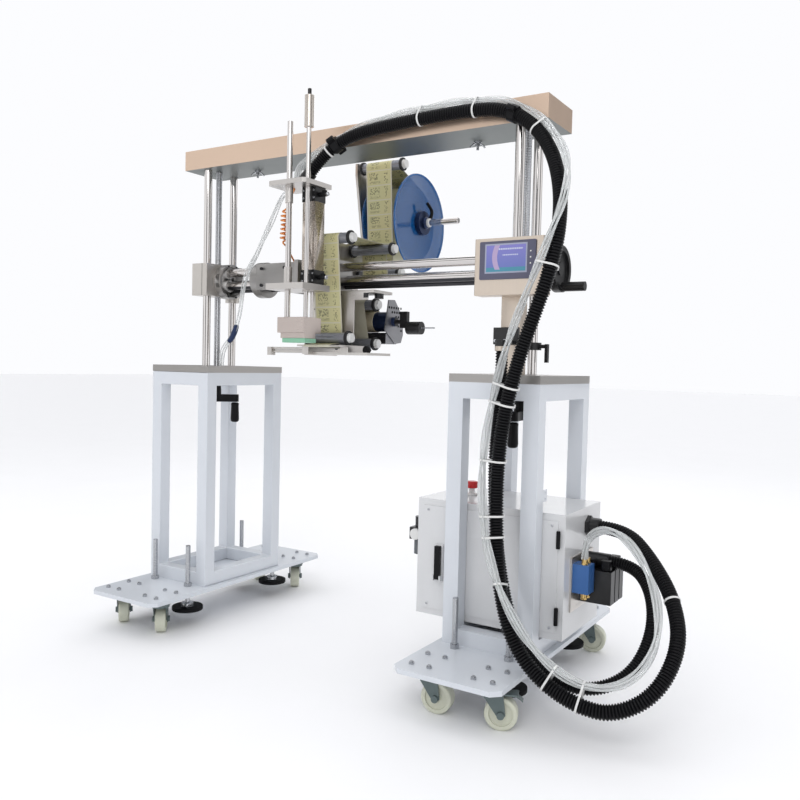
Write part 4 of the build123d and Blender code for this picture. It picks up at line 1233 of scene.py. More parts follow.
@dataclass
class Stands:
    """Base plates, casters, feet, frames and top plates."""

    caster_top: float = 0.103
    base_top: float = 0.115
    frame_top: float = 0.766
    stand_x: float = 0.532
    stud_x: float = 0.072
    stud_y: float = 0.194
    stud_radius: float = 0.0074
    stud_span: Pair = (0.1290, 0.2402)
    caster_names: tuple[str, ...] = (
        "left_front_outer",
        "left_front_inner",
        "left_rear_outer",
        "left_rear_inner",
        "right_front_inner",
        "right_front_outer",
        "right_rear_inner",
        "right_rear_outer",
    )

    def build(self, maker: Piece) -> None:
        """Dress everything below the decks."""
        bolts = Region(z=(self.base_top + 0.0004, 0.2))
        mounts = Region(z=(-1, self.caster_top - 0.0002))
        maker.solid("base_plates", Coat(WHITE_PAINT, ((bolts, ZINC), (mounts, GREY_GREEN))), 0.0012)
        fork = Coat(GREY_GREEN)
        wheel = Coat(CREAM)
        for name in self.caster_names:
            maker.solid(f"caster_fork_{name}", fork, 0.0006)
            maker.solid(f"caster_wheel_{name}", wheel, 0.0006)
        foot = Coat(BLACK_RUBBER, ((Region(z=(0.0563, 1)), ZINC),))
        for side in ("left", "right"):
            maker.solid(f"{side}_levelling_feet", foot, 0.0012)
            maker.solid(
                f"{side}_stand_frame", Coat(WHITE_PAINT, constants=(("Coat_Weight", 0.35),)), 0.003
            )
            self.stud_threads(maker, side)
        housings = Region(z=(0.5, self.frame_top))
        maker.solid("top_plates", Coat(DECK_PLATE, ((housings, ALUMINIUM),)), 0.001)
        self.brake(maker)

    def stud_threads(self, maker: Piece, side: str) -> None:
        """Threads of one stand's four levelling studs, from their nuts to their tops."""
        middle = self.stand_x * (-1 if side == "left" else 1)
        low, high = self.stud_span
        thread = threaded(self.stud_radius, low, high, 0.0025, 0.0008, 12)
        corners = [(i, j) for i in (-1, 1) for j in (-1, 1)]
        places = [(middle + i * self.stud_x, j * self.stud_y, 0) for i, j in corners]
        zinc = maker.material("zinc_steel", Coat(ZINC))
        body = maker.body_of[f"{side}_levelling_feet"]
        maker.add(f"{side}_stud_threads", thread.repeated(places), body, zinc, "zinc_steel", 0, 60)

    def brake(self, maker: Piece) -> None:
        """Pressed pedal of the braked caster: a curved tongue over its wheel."""
        wheel_low, wheel_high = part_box("caster_wheel_right_front_outer")
        middle = (np.array(wheel_low) + np.array(wheel_high)) / 2
        turn = radians(20)
        along = np.array([cos(turn), sin(turn), 0])
        step = np.linspace(0, 1, 12)
        path = middle + along * (0.004 + step * 0.044)[:, None]
        path[:, 2] = 0.0795 + 0.004 * np.sin(step * pi) - 0.012 * step**2
        across = np.array([-sin(turn), cos(turn), 0])
        half = 0.013 - 0.003 * step
        section = np.stack(
            [
                path - across * half[:, None],
                path + across * half[:, None],
                path + across * half[:, None] + (0, 0, 0.0022),
                path - across * half[:, None] + (0, 0, 0.0022),
            ],
            axis=1,
        )
        look = maker.material("grey_green_paint", Coat(GREY_GREEN))
        maker.add(
            "brake_pedal",
            surface(section),
            "fork_right_front_outer",
            look,
            "grey_green_paint",
            0.0005,
        )


@dataclass
class Lift:
    """Guide shafts, beam, lift screws, carriage blocks and cross shafts."""

    guide_x: float = 0.534
    screw_y: float = -0.010
    screw_radius: float = 0.010
    screw_lead: float = 0.004
    hub_top: float = 0.7257
    hub_height: float = 0.056
    arm_thick: float = 0.024
    arm_reach: float = 0.060
    grip_radius: float = 0.014
    grip_length: float = 0.066
    screw_top: float = 1.4257
    beam_bottom: float = 1.404
    crank_turns: Pair = (45, -82)

    def crank(self, maker: Piece, side: str, x: float, turn: float) -> None:
        """Lift screw with its thread, hub, arm and grip.

        Args:
            maker: makes and fastens pieces.
            side: which stand.
            x: its place across the machine.
            turn: heading of the arm in degrees.
        """
        bottom = self.hub_top - self.hub_height
        screw = threaded(self.screw_radius, self.hub_top, self.screw_top, self.screw_lead, 0.0009)
        body = f"{side}_lift_screw_body"
        steel = maker.material("zinc_steel", Coat(ZINC))
        piece = maker.add(
            f"{side}_lift_thread",
            screw.placed((x, self.screw_y, 0)),
            body,
            steel,
            "zinc_steel",
            0,
            50,
        )
        hub = turned(
            [(0.0145, 0), (0.016, 0.0015), (0.016, 0.040), (0.0145, 0.052), (0.013, 0.056)], 28
        )
        step = np.linspace(0, 1, 9)
        width = 0.012 - 0.002 * np.sin(step * pi)
        along = self.arm_reach * step
        angle = np.linspace(-pi / 2, pi / 2, 9)
        nose = np.column_stack([self.arm_reach + 0.012 * np.cos(angle), 0.012 * np.sin(angle)])
        tail = np.column_stack([-0.012 * np.cos(angle), -0.012 * np.sin(angle)])
        near = np.column_stack([along, -width])[1:-1]
        far = np.column_stack([along, width])[1:-1][::-1]
        outline = np.vstack([near, nose, far, tail])
        arm = prism(outline, 0, self.arm_thick)
        r, g = self.grip_radius, self.grip_length
        grip = turned(
            [
                (r * 0.6, 0),
                (r * 0.9, 0.003),
                (r, 0.010),
                (r * 0.93, g * 0.5),
                (r * 0.88, g * 0.8),
                (r * 0.95, g - 0.006),
                (r * 0.7, g - 0.002),
            ],
            26,
        )
        heading = radians(turn)
        across = (cos(heading), sin(heading), 0)
        at = (x + self.arm_reach * across[0], self.screw_y + self.arm_reach * across[1])
        shape = (
            hub.placed((x, self.screw_y, bottom))
            + arm.placed((x, self.screw_y, bottom), (0, 0, 1), across)
            + grip.placed((at[0], at[1], bottom - g))
        )
        black = maker.material("black_plastic", Coat(BLACK_PLASTIC))
        maker.add(f"{side}_crank", shape, body, black, "black_plastic", 0.0012)
        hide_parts(f"{side}_lift_screw")

    def details(self, maker: Piece) -> None:
        """Screws, wing bolts, and black slabs of painted shade in the clamp slits."""
        zinc = maker.material("zinc_steel", Coat(ZINC))
        dark = maker.material("dark_steel", Coat(DARK_STEEL))
        head = cap_screw(0.0048, 0.0045)
        front = [(x, -0.080, z) for x in (0.523, 0.567) for z in (1.022, 1.095)]
        maker.add(
            "block_screws", head.repeated(front, (0, -1, 0)), "lift_carriage", dark, "zinc_steel"
        )
        # Painted shade: thin black slabs fill the clamp slits, whose dark is only shade
        slit_shades = [
            slab(
                (side * self.guide_x - 0.0006, -0.0803, 1.0082),
                (side * self.guide_x + 0.0006, -0.072, 1.1088),
            )
            for side in (-1, 1)
        ]
        maker.add(
            "clamp_slit_shades",
            joined(slit_shades),
            "lift_carriage",
            maker.material("black_rubber", Coat(BLACK_RUBBER)),
            "satin_aluminium",
        )
        ring = [
            (side * 0.4849, 0.005 + 0.051 * cos(a), 1.056 + 0.051 * sin(a))
            for side in (-1, 1)
            for a in (radians(70), radians(110), radians(-70), radians(-110))
        ]
        small = cap_screw(0.003, 0.0025)
        left = [point for point in ring if point[0] < 0]
        right = [point for point in ring if point[0] > 0]
        maker.add(
            "flange_screws",
            small.repeated(left, (1, 0, 0)) + small.repeated(right, (-1, 0, 0)),
            "lift_carriage",
            dark,
            "zinc_steel",
        )
        self.wing_bolts(maker, zinc)

    def wing_bolts(self, maker: Piece, look: bpy.types.Material) -> None:
        """Wing bolts under the beam: a stem, a washer and two bent wings each."""
        stem = turned(
            [
                (0.011, 0),
                (0.011, 0.002),
                (0.006, 0.0025),
                (0.006, 0.012),
                (0.0035, 0.0125),
                (0.0035, 0.022),
            ],
            16,
        )
        step = np.linspace(0, 1, 8)
        path = np.column_stack([0.004 + 0.016 * step, 0 * step, 0.005 + 0.010 * step**2])
        wing = carried(path, 0.0034 - 0.0012 * step, 8)
        bolt = stem + wing.placed((0, 0, 0)) + wing.placed((0, 0, 0), (0, 0, 1), (-1, 0, 0))
        places = [(-0.399, 0.0226, self.beam_bottom), (0.368, 0.0367, self.beam_bottom)]
        maker.add(
            "wing_bolts",
            bolt.repeated(places, (0, 0, -1), (0.8, 0.6, 0)),
            "base",
            look,
            "zinc_steel",
        )

    def build(self, maker: Piece) -> None:
        """Dress the lift."""
        # The beam's bottom face is painted dark grey as shade
        maker.solid(
            "cross_beam",
            Coat(CHAMPAGNE, ((Region(z=(1.3, self.beam_bottom + 0.0003)), UNDERSIDE_SHADE),)),
            0.0012,
        )
        collar = Region(ring=(Axis.Z, (self.guide_x, 0.0575), (0.0128, 0.09)), z=(0.80, 0.88))
        maker.solid("guide_shafts", Coat(CHROME, ((collar, BLACK_PLASTIC),)), 0.0008)
        maker.solid("carriage_blocks", Coat(ALUMINIUM), 0.0012)
        tie = Region(z=(1.0, 1.0385))
        maker.solid("cross_shafts", Coat(CHROME, ((tie, DARK_STEEL),)), 0.0006)
        maker.solid("round_flanges", Coat(SLIDE_GREY), 0.0)
        wheel = Region(x=(0.5774, 0.75))
        maker.solid("traverse_screw", Coat(ZINC, ((wheel, BLACK_PLASTIC),)), 0.0025)
        places = (-self.guide_x, self.guide_x)
        for side, x, turn in zip(("left", "right"), places, self.crank_turns):
            self.crank(maker, side, x, turn)
        self.details(maker)


class Turn(Enum):
    """Which way the web runs round a roller, seen with the back of the machine to the right."""

    FORWARD = 1
    BACK = -1


@dataclass
class Labels:
    """The web of labels over its rollers, and the roll that it comes from."""

    left: float = -0.100
    width: float = 0.094
    thick: float = 0.0006
    roller: float = 0.015
    gap: float = 0.0003
    pitch: float = 0.045
    dot: float = 0.0030
    stroke: float = 0.0042
    reel: Pair = (0.340, 1.260)
    roll_radius: float = 0.118
    rewinder: Pair = (0.135, 0.932)
    liner_radius: float = 0.032
    edge: Pair = (-0.1015, 0.8525)
    edge_radius: float = 0.0025
    rollers: tuple[tuple[Pair, Turn], ...] = (
        ((0.206, 1.419), Turn.FORWARD),
        ((0.200, 1.085), Turn.BACK),
        ((0.158, 1.154), Turn.FORWARD),
        ((-0.059, 1.158), Turn.FORWARD),
        ((-0.061, 0.876), Turn.BACK),
    )
    after: tuple[tuple[Pair, Turn], ...] = (
        ((0.074, 0.864), Turn.FORWARD),
        ((0.075, 0.979), Turn.BACK),
    )

    def circles(self) -> list[tuple[Pair, float, int]]:
        """Centre, radius and turn of each circle that the middle of the web follows."""
        half = self.thick / 2
        reach = self.roller + self.gap + half
        found = [(self.reel, self.roll_radius + self.gap + half, 1)]
        found += [(centre, reach, turn.value) for centre, turn in self.rollers]
        found.append((self.edge, self.edge_radius + self.gap + half, 1))
        found += [(centre, reach, turn.value) for centre, turn in self.after]
        found.append((self.rewinder, self.liner_radius + self.gap + half, -1))
        return found

    def path(self) -> tuple[np.ndarray, float]:
        """Middle line of the web as Y, Z points, and its length up to the peel edge.

        A straight run touches both circles: its heading is the line of the centres, turned by the
        angle whose sine is the difference of the signed radii over the reach.
        """
        circles = self.circles()
        runs = []
        for (start, first, turn), (end, last, turn_after) in zip(circles, circles[1:]):
            reach = hypot(end[0] - start[0], end[1] - start[1])
            heading = atan2(end[1] - start[1], end[0] - start[0]) + asin(
                (turn * first - turn_after * last) / reach
            )
            side = np.array([sin(heading), -cos(heading)])
            leaves = np.array(start) + turn * first * side
            meets = np.array(end) + turn_after * last * side
            runs.append((leaves, meets, heading))
        parts = []
        for index, (start, end, heading) in enumerate(runs):
            count = max(2, int(np.linalg.norm(end - start) / 0.006))
            parts.append(start + (end - start) * np.linspace(0, 1, count)[:, None])
            if index == len(self.rollers):
                before_edge = index
            if index + 1 < len(runs):
                centre, radius, turn = circles[index + 1]
                begin = atan2(end[1] - centre[1], end[0] - centre[0])
                sweep = runs[index + 1][2] - heading
                while sweep * turn < 0:
                    sweep += turn * 2 * pi
                angle = begin + np.linspace(0, sweep, 14)[1:-1]
                parts.append(
                    np.array(centre) + radius * np.column_stack([np.cos(angle), np.sin(angle)])
                )
        flat = np.vstack(parts)
        to_edge = np.vstack(parts[: 2 * before_edge + 1])
        return flat, float(np.linalg.norm(np.diff(to_edge, axis=0), axis=1).sum())

    def paper(self, to_edge: float) -> bpy.types.Material:
        """Printed labels on a tan liner, which runs on bare behind the peel edge.

        The pattern reads the length along the web and the place across it. Small marks stand in a
        grid, and each is dark where the noise of its own cell is high.
        """
        board = Board("label_stock")
        along, across, _ = board.attribute("run")
        cell = (along / self.pitch).fraction()
        label = cell.between(0.035, 0.965) * across.between(0.004, 0.090) * (along < to_edge)
        grid_along = (along / self.dot).floor()
        grid_across = (across / self.dot).floor()
        place = board.make("ShaderNodeCombineXYZ", None, {0: grid_along, 1: grid_across, 2: 0.5})
        spots = board.make(
            "ShaderNodeTexWhiteNoise", {"noise_dimensions": "2D"}, {"Vector": place.outputs[0]}
        )
        spot = Wire(board, spots.outputs["Value"])
        within_along = (along / self.dot).fraction().between(0.12, 0.88)
        within_across = (across / self.dot).fraction().between(0.12, 0.88)
        inside = within_along * within_across
        panel = cell.between(0.14, 0.62) * across.between(0.012, 0.048)
        column = cell.between(0.10, 0.86) * across.between(0.066, 0.080)
        mark = inside * ((spot > 0.56) * panel).either((spot > 0.72) * column)
        strokes = (across / self.stroke).fraction().between(0.3, 0.62)
        lines = strokes * cell.between(0.70, 0.86) * across.between(0.012, 0.052)
        mark = mark.either(lines * (spot > 0.3)) * label
        broad = board.noise((7, 7, 7), 2.0)
        fine = board.noise((500, 500, 500), 2.0)
        shade = 0.95 + broad * 0.10 + fine * 0.03
        stock = board.mixed(broad, (0.60, 0.51, 0.27), (0.50, 0.53, 0.29))
        liner = board.mixed(board.noise((40, 40, 40), 2.0), (0.60, 0.58, 0.48), (0.54, 0.51, 0.38))
        base = board.mixed(label, liner, stock)
        inked = board.mixed(mark, base, (0.05, 0.055, 0.04))
        return board.finish(
            Tone(board.shaded(inked, shade), 0.42 + fine * 0.12, 0.0, label * 0.00006)
        )

    def roll(self) -> bpy.types.Material:
        """Edge of the wound roll: rings by the distance from its axis."""
        board = Board("wound_labels")
        reach = ((board.y - self.reel[0]) ** 2 + (board.z - self.reel[1]) ** 2) ** 0.5
        rings = (reach * (2 * pi / 0.0011)).sine() * 0.5 + 0.5
        wide = (reach * (2 * pi / 0.013)).sine() * 0.5 + 0.5
        fine = board.noise((220, 220, 220), 3.0)
        shade = 0.82 + rings * 0.12 + wide * 0.07 + fine * 0.06
        return board.finish(
            Tone(board.shaded((0.47, 0.46, 0.31), shade), 0.55 + fine * 0.1, 0.0, rings * 0.00012)
        )

    def build(self, maker: Piece) -> None:
        """Make the web, and dress the roll."""
        flat, to_edge = self.path()
        heading = np.gradient(flat, axis=0)
        heading /= np.linalg.norm(heading, axis=1, keepdims=True)
        outward = np.column_stack([-heading[:, 1], heading[:, 0]]) * (self.thick / 2)
        rows = []
        for x, sign in (
            (self.left, -1),
            (self.left + self.width, -1),
            (self.left + self.width, 1),
            (self.left, 1),
        ):
            rows.append(np.column_stack([np.full(len(flat), x), flat + sign * outward]))
        piece = maker.add(
            "label_web_strip",
            surface(np.stack(rows, axis=1)),
            "head",
            self.paper(to_edge),
            "label_stock",
        )
        length = np.concatenate([[0], np.cumsum(np.linalg.norm(np.diff(flat, axis=0), axis=1))])
        across = np.array([0, self.width, self.width, 0])
        run = np.zeros((len(flat), 4, 3))
        run[:, :, 0] = length[:, None]
        run[:, :, 1] = across
        attribute = piece.data.attributes.new("run", "FLOAT_VECTOR", "POINT")
        attribute.data.foreach_set("vector", run.reshape(-1).astype(np.float32))
        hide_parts("label_web")
        maker.looks["wound_labels"] = self.roll()
        roll = maker.solid("label_roll", Coat(Finish("wound_labels", (0.6, 0.6, 0.4))), 0.0006)
        log.info("web of %.3f m, %s", length[-1], roll.name)


@dataclass
class Reel:
    """Reel: two clear blue flanges, core, hub with its screws, clamp lever and spindle."""

    y: float = 0.340
    z: float = 1.260
    spindle_radius: float = 0.010
    spindle: Pair = (-0.189, 0.153)
    flange: Pair = (0.008, 0.014)
    flange_radius: float = 0.1575
    back_flange: Pair = (-0.120, -0.114)
    back_radius: float = 0.1417
    core_radius: float = 0.038
    rim_radius: float = 0.151

    def disc(self, span: Pair, radius: float) -> Shape:
        """Flat disc round the core with a rounded rim: a ring section turned about the axis."""
        thick = span[1] - span[0]
        angle = np.linspace(-pi / 2, pi / 2, 7)
        rim = np.column_stack(
            [radius - thick / 2 + thick / 2 * np.cos(angle), thick / 2 + thick / 2 * np.sin(angle)]
        )
        section = np.vstack(
            [[(self.core_radius + 0.0002, 0)], rim, [(self.core_radius + 0.0002, thick)]]
        )
        turn = np.linspace(0, 2 * pi, 72, endpoint=False)
        grid = np.stack(
            [
                section[:, 0] * np.cos(turn)[:, None],
                section[:, 0] * np.sin(turn)[:, None],
                section[:, 1] + 0 * turn[:, None],
            ],
            -1,
        )
        return surface(grid, closed_u=True).placed((span[0], self.y, self.z), (1, 0, 0))

    def build(self, maker: Piece) -> None:
        """Make the reel in place of its solid."""
        board = Board("clear_blue_plastic")
        blue = Finish(
            "clear_blue_plastic",
            (0.006, 0.105, 0.34),
            0.08,
            0.0,
            (120, 120, 120),
            0.05,
            0.000004,
            0.04,
            0.08,
        )
        reach = ((board.y - self.y) ** 2 + (board.z - self.z) ** 2) ** 0.5
        clear = 0.74 + (reach > self.rim_radius) * 0.22
        look = board.finish(
            blue.tone(board), Transmission_Weight=0.15, Alpha=clear, IOR=1.49, Coat_Weight=0.6
        )
        discs = self.disc(self.flange, self.flange_radius) + self.disc(
            self.back_flange, self.back_radius
        )
        piece = maker.add("reel_flanges", discs, "label_reel", look, "clear_blue_plastic", 0.0, 50)
        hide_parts("reel")
        axis = (1, 0, 0)
        r = self.spindle_radius
        x0, x1 = self.spindle
        rod = turned([(r * 0.85, 0), (r, 0.0015), (r, x1 - x0 - 0.002), (r * 0.8, x1 - x0)], 28)
        steel = maker.material("chrome", Coat(CHROME))
        maker.add(
            "reel_spindle_rod",
            rod.placed((x0, self.y, self.z), axis),
            "label_reel",
            steel,
            "chrome",
        )
        core = turned([(self.core_radius, 0), (self.core_radius, 0.152)], 48)
        hub = turned([(0.019, -0.014), (0.019, 0.007), (0.017, 0.009), (0.015, 0.012)], 40)
        dark = maker.material("dark_blue_anodised", Coat(DARK_BLUE))
        shape = core.placed((-0.122, self.y, self.z), axis) + hub.placed(
            (0.030, self.y, self.z), axis
        )
        plate = turned([(0.034, 0), (0.034, 0.003), (0.032, 0.004)], 48).placed(
            (0.014, self.y, self.z), axis
        )
        maker.add("reel_core", shape + plate, "label_reel", dark, "dark_blue_anodised", 0.0006)
        knob = turned([(0.013, 0), (0.014, 0.002), (0.014, 0.008), (0.012, 0.010)], 24).placed(
            (0.041, self.y, self.z), axis
        )
        white = maker.material("white_plastic", Coat(WHITE_PLASTIC))
        maker.add("reel_cap", knob, "label_reel", white, "clear_blue_plastic", 0.0005)
        places = [
            (0.0178, self.y + 0.027 * cos(radians(a)), self.z + 0.027 * sin(radians(a))) for a in (
                100, 220, 340
            )
        ]
        bright = maker.material("zinc_steel", Coat(ZINC))
        maker.add(
            "reel_screws",
            cap_screw(0.0048, 0.004).repeated(places, axis),
            "label_reel",
            bright,
            "chrome",
        )
        step = np.linspace(0, 1, 14)
        lever = np.column_stack(
            [
                0.040 + 0.006 * np.sin(step * pi),
                self.y + 0.012 - 0.018 * step + 0.012 * np.sin(step * pi),
                self.z + 0.012 + 0.050 * step,
            ]
        )
        black = maker.material("black_plastic", Coat(BLACK_PLASTIC))
        maker.add(
            "reel_lever",
            carried(lever, 0.0062 - 0.0014 * step, 14),
            "label_reel",
            black,
            "black_plastic",
        )


@dataclass
class Head:
    """Slide, plates, rollers, peel bed, rewinder and tamp unit."""

    roller_names: tuple[str, ...] = (
        "top", "dancer", "rear", "front_upper", "front_lower", "bottom", "drive"
    )
    cylinder: Pair = (-0.050, -0.133)
    upper_plate_top: float = 1.300
    coil: tuple[tuple[float, float, float, float], ...] = (
        (0.0, -0.105, -0.150, 1.288),
        (0.22, -0.144, -0.146, 1.228),
        (0.78, -0.148, -0.144, 1.146),
        (1.0, -0.172, -0.052, 1.085),
    )
    side_screws: tuple[Pair, ...] = (
        (-0.03, 1.03),
        (-0.03, 1.09),
        (0.045, 1.03),
        (0.045, 1.09),
        (0.12, 0.99),
        (0.02, 0.90),
        (0.12, 0.88),
    )
    arm_screws: tuple[Pair, ...] = (
        (0.14, 1.14),
        (0.18, 1.16),
        (0.30, 1.20),
        (0.33, 1.28),
        (0.22, 1.39),
    )
    coil_turns: float = 12.0
    coil_reach: float = 0.0085
    plate_hole_shades: tuple[Pair, ...] = field(
        default_factory=lambda: tuple(
            (0.112 + 0.013 * row + 0.004 * (column % 2), 0.974 - 0.0135 * column)
            for column in range(7)
            for row in range(6)
        )
    )

    def rollers(self, maker: Piece) -> None:
        """Grey rollers with black end rings and white caps."""
        rings = (Region(x=(-0.1232, -0.1149)), Region(x=(0.0219, 0.0301)))
        cap = Region(x=(0.0301, 0.05))
        pin = Region(x=(-0.2, -0.1232))
        regions = (
            (rings[0], BLACK_RUBBER), (rings[1], BLACK_RUBBER), (cap, WHITE_PLASTIC), (pin, ZINC)
        )
        for name in self.roller_names:
            maker.solid(f"roller_{name}", Coat(ROLLER_GREY, regions), 0.0012)

    def tamp(self, maker: Piece) -> None:
        """Cylinder, rods, plates and pad."""
        maker.solid(
            "tamp_frame",
            Coat(ALUMINIUM_X, ((Region(z=(1.3003, 1.5), x=(-0.11, 0.1)), BLACK_PLASTIC),)),
            0.0012,
        )
        caps = (Region(z=(1.0, 1.0602)), Region(z=(1.2468, 1.4)))
        maker.solid(
            "tamp_cylinder", Coat(MILLED, ((caps[0], BLACK_PLASTIC), (caps[1], BLACK_PLASTIC))), 0.0
        )
        silencer = Region(z=(1.4442, 1.5302), x=(-0.06, -0.02))
        tip = Region(z=(1.5302, 1.6))
        maker.solid("tamp_rods", Coat(CHROME, ((silencer, SILENCER), (tip, BLACK_PLASTIC))), 0.0012)
        pad = Region(z=(0.8, 0.87))
        maker.solid("tamp_block", Coat(BLOCK_SILVER, ((pad, GREEN_PAD),)), 0.0012)
        x, y = self.cylinder
        black = maker.material("black_plastic", Coat(BLACK_PLASTIC))
        bright = maker.material("zinc_steel", Coat(ZINC))
        elbow = turned([(0.0055, 0), (0.0065, 0.001), (0.0065, 0.012), (0.005, 0.013)], 16)
        knob = turned([(0.004, 0), (0.0055, 0.002), (0.0055, 0.008), (0.003, 0.010)], 14)
        block = slab((-0.006, -0.006, -0.006), (0.006, 0.006, 0.010), 0.002)
        bodies, knobs = [], []
        for z in (1.040, 1.267):
            bodies.append(elbow.placed((x + 0.023, y - 0.004, z), (1, 0, 0)))
            bodies.append(block.placed((x + 0.040, y - 0.004, z)))
            knobs.append(knob.placed((x + 0.046, y - 0.004, z - 0.001), (1, -0.25, 0)))
        maker.add("cylinder_elbows", joined(bodies), "head", black, "black_plastic", 0.0006)
        maker.add("flow_knobs", joined(knobs), "head", bright, "zinc_steel")
        reach = 0.0175
        corners = [(x + i * reach, y + j * reach) for i in (-1, 1) for j in (-1, 1)]
        heights = (1.030, 1.050, 1.257, 1.277)
        screws = [(x + i * reach, y - 0.0231, z) for i in (-1, 1) for z in heights]
        maker.add(
            "cylinder_screws",
            cap_screw(0.003, 0.002).repeated(screws, (0, -1, 0)),
            "head",
            bright,
            "zinc_steel",
        )
        tops = [(cx, cy, self.upper_plate_top) for cx, cy in corners]
        maker.add(
            "plate_screws", cap_screw(0.0042, 0.004).repeated(tops), "head", bright, "zinc_steel"
        )
        # Painted shade: thin black strips in the cylinder's grooves stand for the shade inside them
        groove_shades = [
            slab((x - 0.0225, y - 0.0222 + rise, 1.0605), (x - 0.0212, y - 0.0198 + rise, 1.2465))
            for rise in (0.012, 0.030)
        ]
        maker.add("cylinder_groove_shades", joined(groove_shades), "head", black, "cylinder_grey")
        self.spiral(maker)

    def spiral(self, maker: Piece) -> None:
        """Coiled copper-coloured tube between the upper plate and the slide.

        Its middle line runs through four places, and a turning circle is added to it, whose
        radius grows from nothing and falls back to nothing at both ends of the coil.
        """
        step = np.linspace(0, 1, 260)
        table = np.array(self.coil)
        line = np.column_stack([np.interp(step, table[:, 0], table[:, axis]) for axis in (1, 2, 3)])
        angle = step * 2 * pi * self.coil_turns
        reach = self.coil_reach * np.clip(np.minimum(step - 0.15, 0.85 - step) / 0.12, 0, 1)
        reach = reach * (1 - 0.35 * np.exp(-(((step - 0.5) / 0.04) ** 2)))
        line[:, 0] += reach * np.cos(angle)
        line[:, 1] += reach * np.sin(angle)
        look = maker.material("copper_fitting", Coat(COPPER))
        maker.add("copper_spiral", carried(line, 0.0026, 8), "head", look, "clear_tube")

    def rewinder(self, maker: Piece) -> None:
        """Rewinder drum, its plate with rows of holes filled with black discs of painted shade, and
        the black lever and grip.
        """
        wound = Region(x=(-0.1003, -0.0057), ring=(Axis.X, (0.135, 0.932), (0.0301, 0.05)))
        handle = Region(x=(0.0609, 0.1501))
        rod = Region(x=(0.1501, 0.2))
        regions = ((wound, LINER_TAN), (handle, BLACK_PLASTIC), (rod, ZINC))
        maker.solid("rewinder", Coat(DARK_BLUE, regions), 0.0012)
        motor = Region(x=(-0.2, 0.0449))
        grey = Finish("plate_grey", (0.30, 0.30, 0.315), 0.38, 0.8, EVEN_GRAIN, 0.06, 0.00002)
        maker.solid("rewinder_plate", Coat(grey, ((motor, DARK_STEEL),)), 0.0008)
        inside = [
            (0.0491, y, z)
            for y, z in self.plate_hole_shades
            if y + z > 1.082 and y - z < -0.712 and y < 0.186 and hypot(
                y - 0.135, z - 0.932
            ) > 0.018 and z > 0.882
        ]
        # Painted shade: a thin black disc in each hole stands for the shade seen through it
        dot = turned([(0.0038, 0), (0.0038, 0.0004)], 12)
        black = maker.material("black_rubber", Coat(BLACK_RUBBER))
        maker.add("plate_hole_shades", dot.repeated(inside, (1, 0, 0)), "head", black, "black_plastic")

    def details(self, maker: Piece) -> None:
        """Screws and knobs of the plates."""
        dark = maker.material("dark_steel", Coat(DARK_STEEL))
        black = maker.material("black_plastic", Coat(BLACK_PLASTIC))
        side = [(-0.125, y, z) for y, z in self.side_screws]
        arm = [(-0.141, y, z) for y, z in self.arm_screws]
        maker.add(
            "side_screws",
            cap_screw(0.0042, 0.004).repeated(side, (1, 0, 0)),
            "head",
            dark,
            "zinc_steel",
        )
        maker.add(
            "arm_screws",
            cap_screw(0.0045, 0.004).repeated(arm, (-1, 0, 0)),
            "head",
            dark,
            "zinc_steel",
        )
        cover = [(x, -0.040, z) for x in (-0.11, -0.02) for z in (1.00, 0.96, 0.89)]
        maker.add(
            "cover_screws",
            cap_screw(0.0032, 0.002).repeated(cover, (0, -1, 0)),
            "head",
            dark,
            "zinc_steel",
        )
        back = [(x, -0.052, z) for x in (-0.31, -0.22, -0.17) for z in (1.035, 1.085)]
        maker.add(
            "back_screws",
            cap_screw(0.0048, 0.0045).repeated(back, (0, -1, 0)),
            "head",
            dark,
            "zinc_steel",
        )
        knob = turned(
            [
                (0.004, 0),
                (0.004, 0.010),
                (0.010, 0.011),
                (0.012, 0.015),
                (0.012, 0.022),
                (0.009, 0.025),
            ],
            22,
        )
        maker.add(
            "peel_knob",
            knob.placed((0.060, 0.0, 0.843), (0, -1, 0)),
            "head",
            black,
            "black_plastic",
        )

    def build(self, maker: Piece) -> None:
        """Dress the head."""
        maker.solid("head_slide", Coat(SLIDE_GREY), 0.0012)
        maker.solid("head_side_plate", Coat(ALUMINIUM), 0.0008)
        maker.solid("reel_arm", Coat(ALUMINIUM), 0.0012)
        knob = Region(z=(0.99, 1.0039), x=(0.06, 0.1))
        maker.solid("cover_plate", Coat(ALUMINIUM_X, ((knob, BLACK_PLASTIC),)), 0.0006)
        maker.solid("peel_bed", Coat(ALUMINIUM_X), 0.0006)
        self.rollers(maker)
        self.tamp(maker)
        self.rewinder(maker)
        self.details(maker)


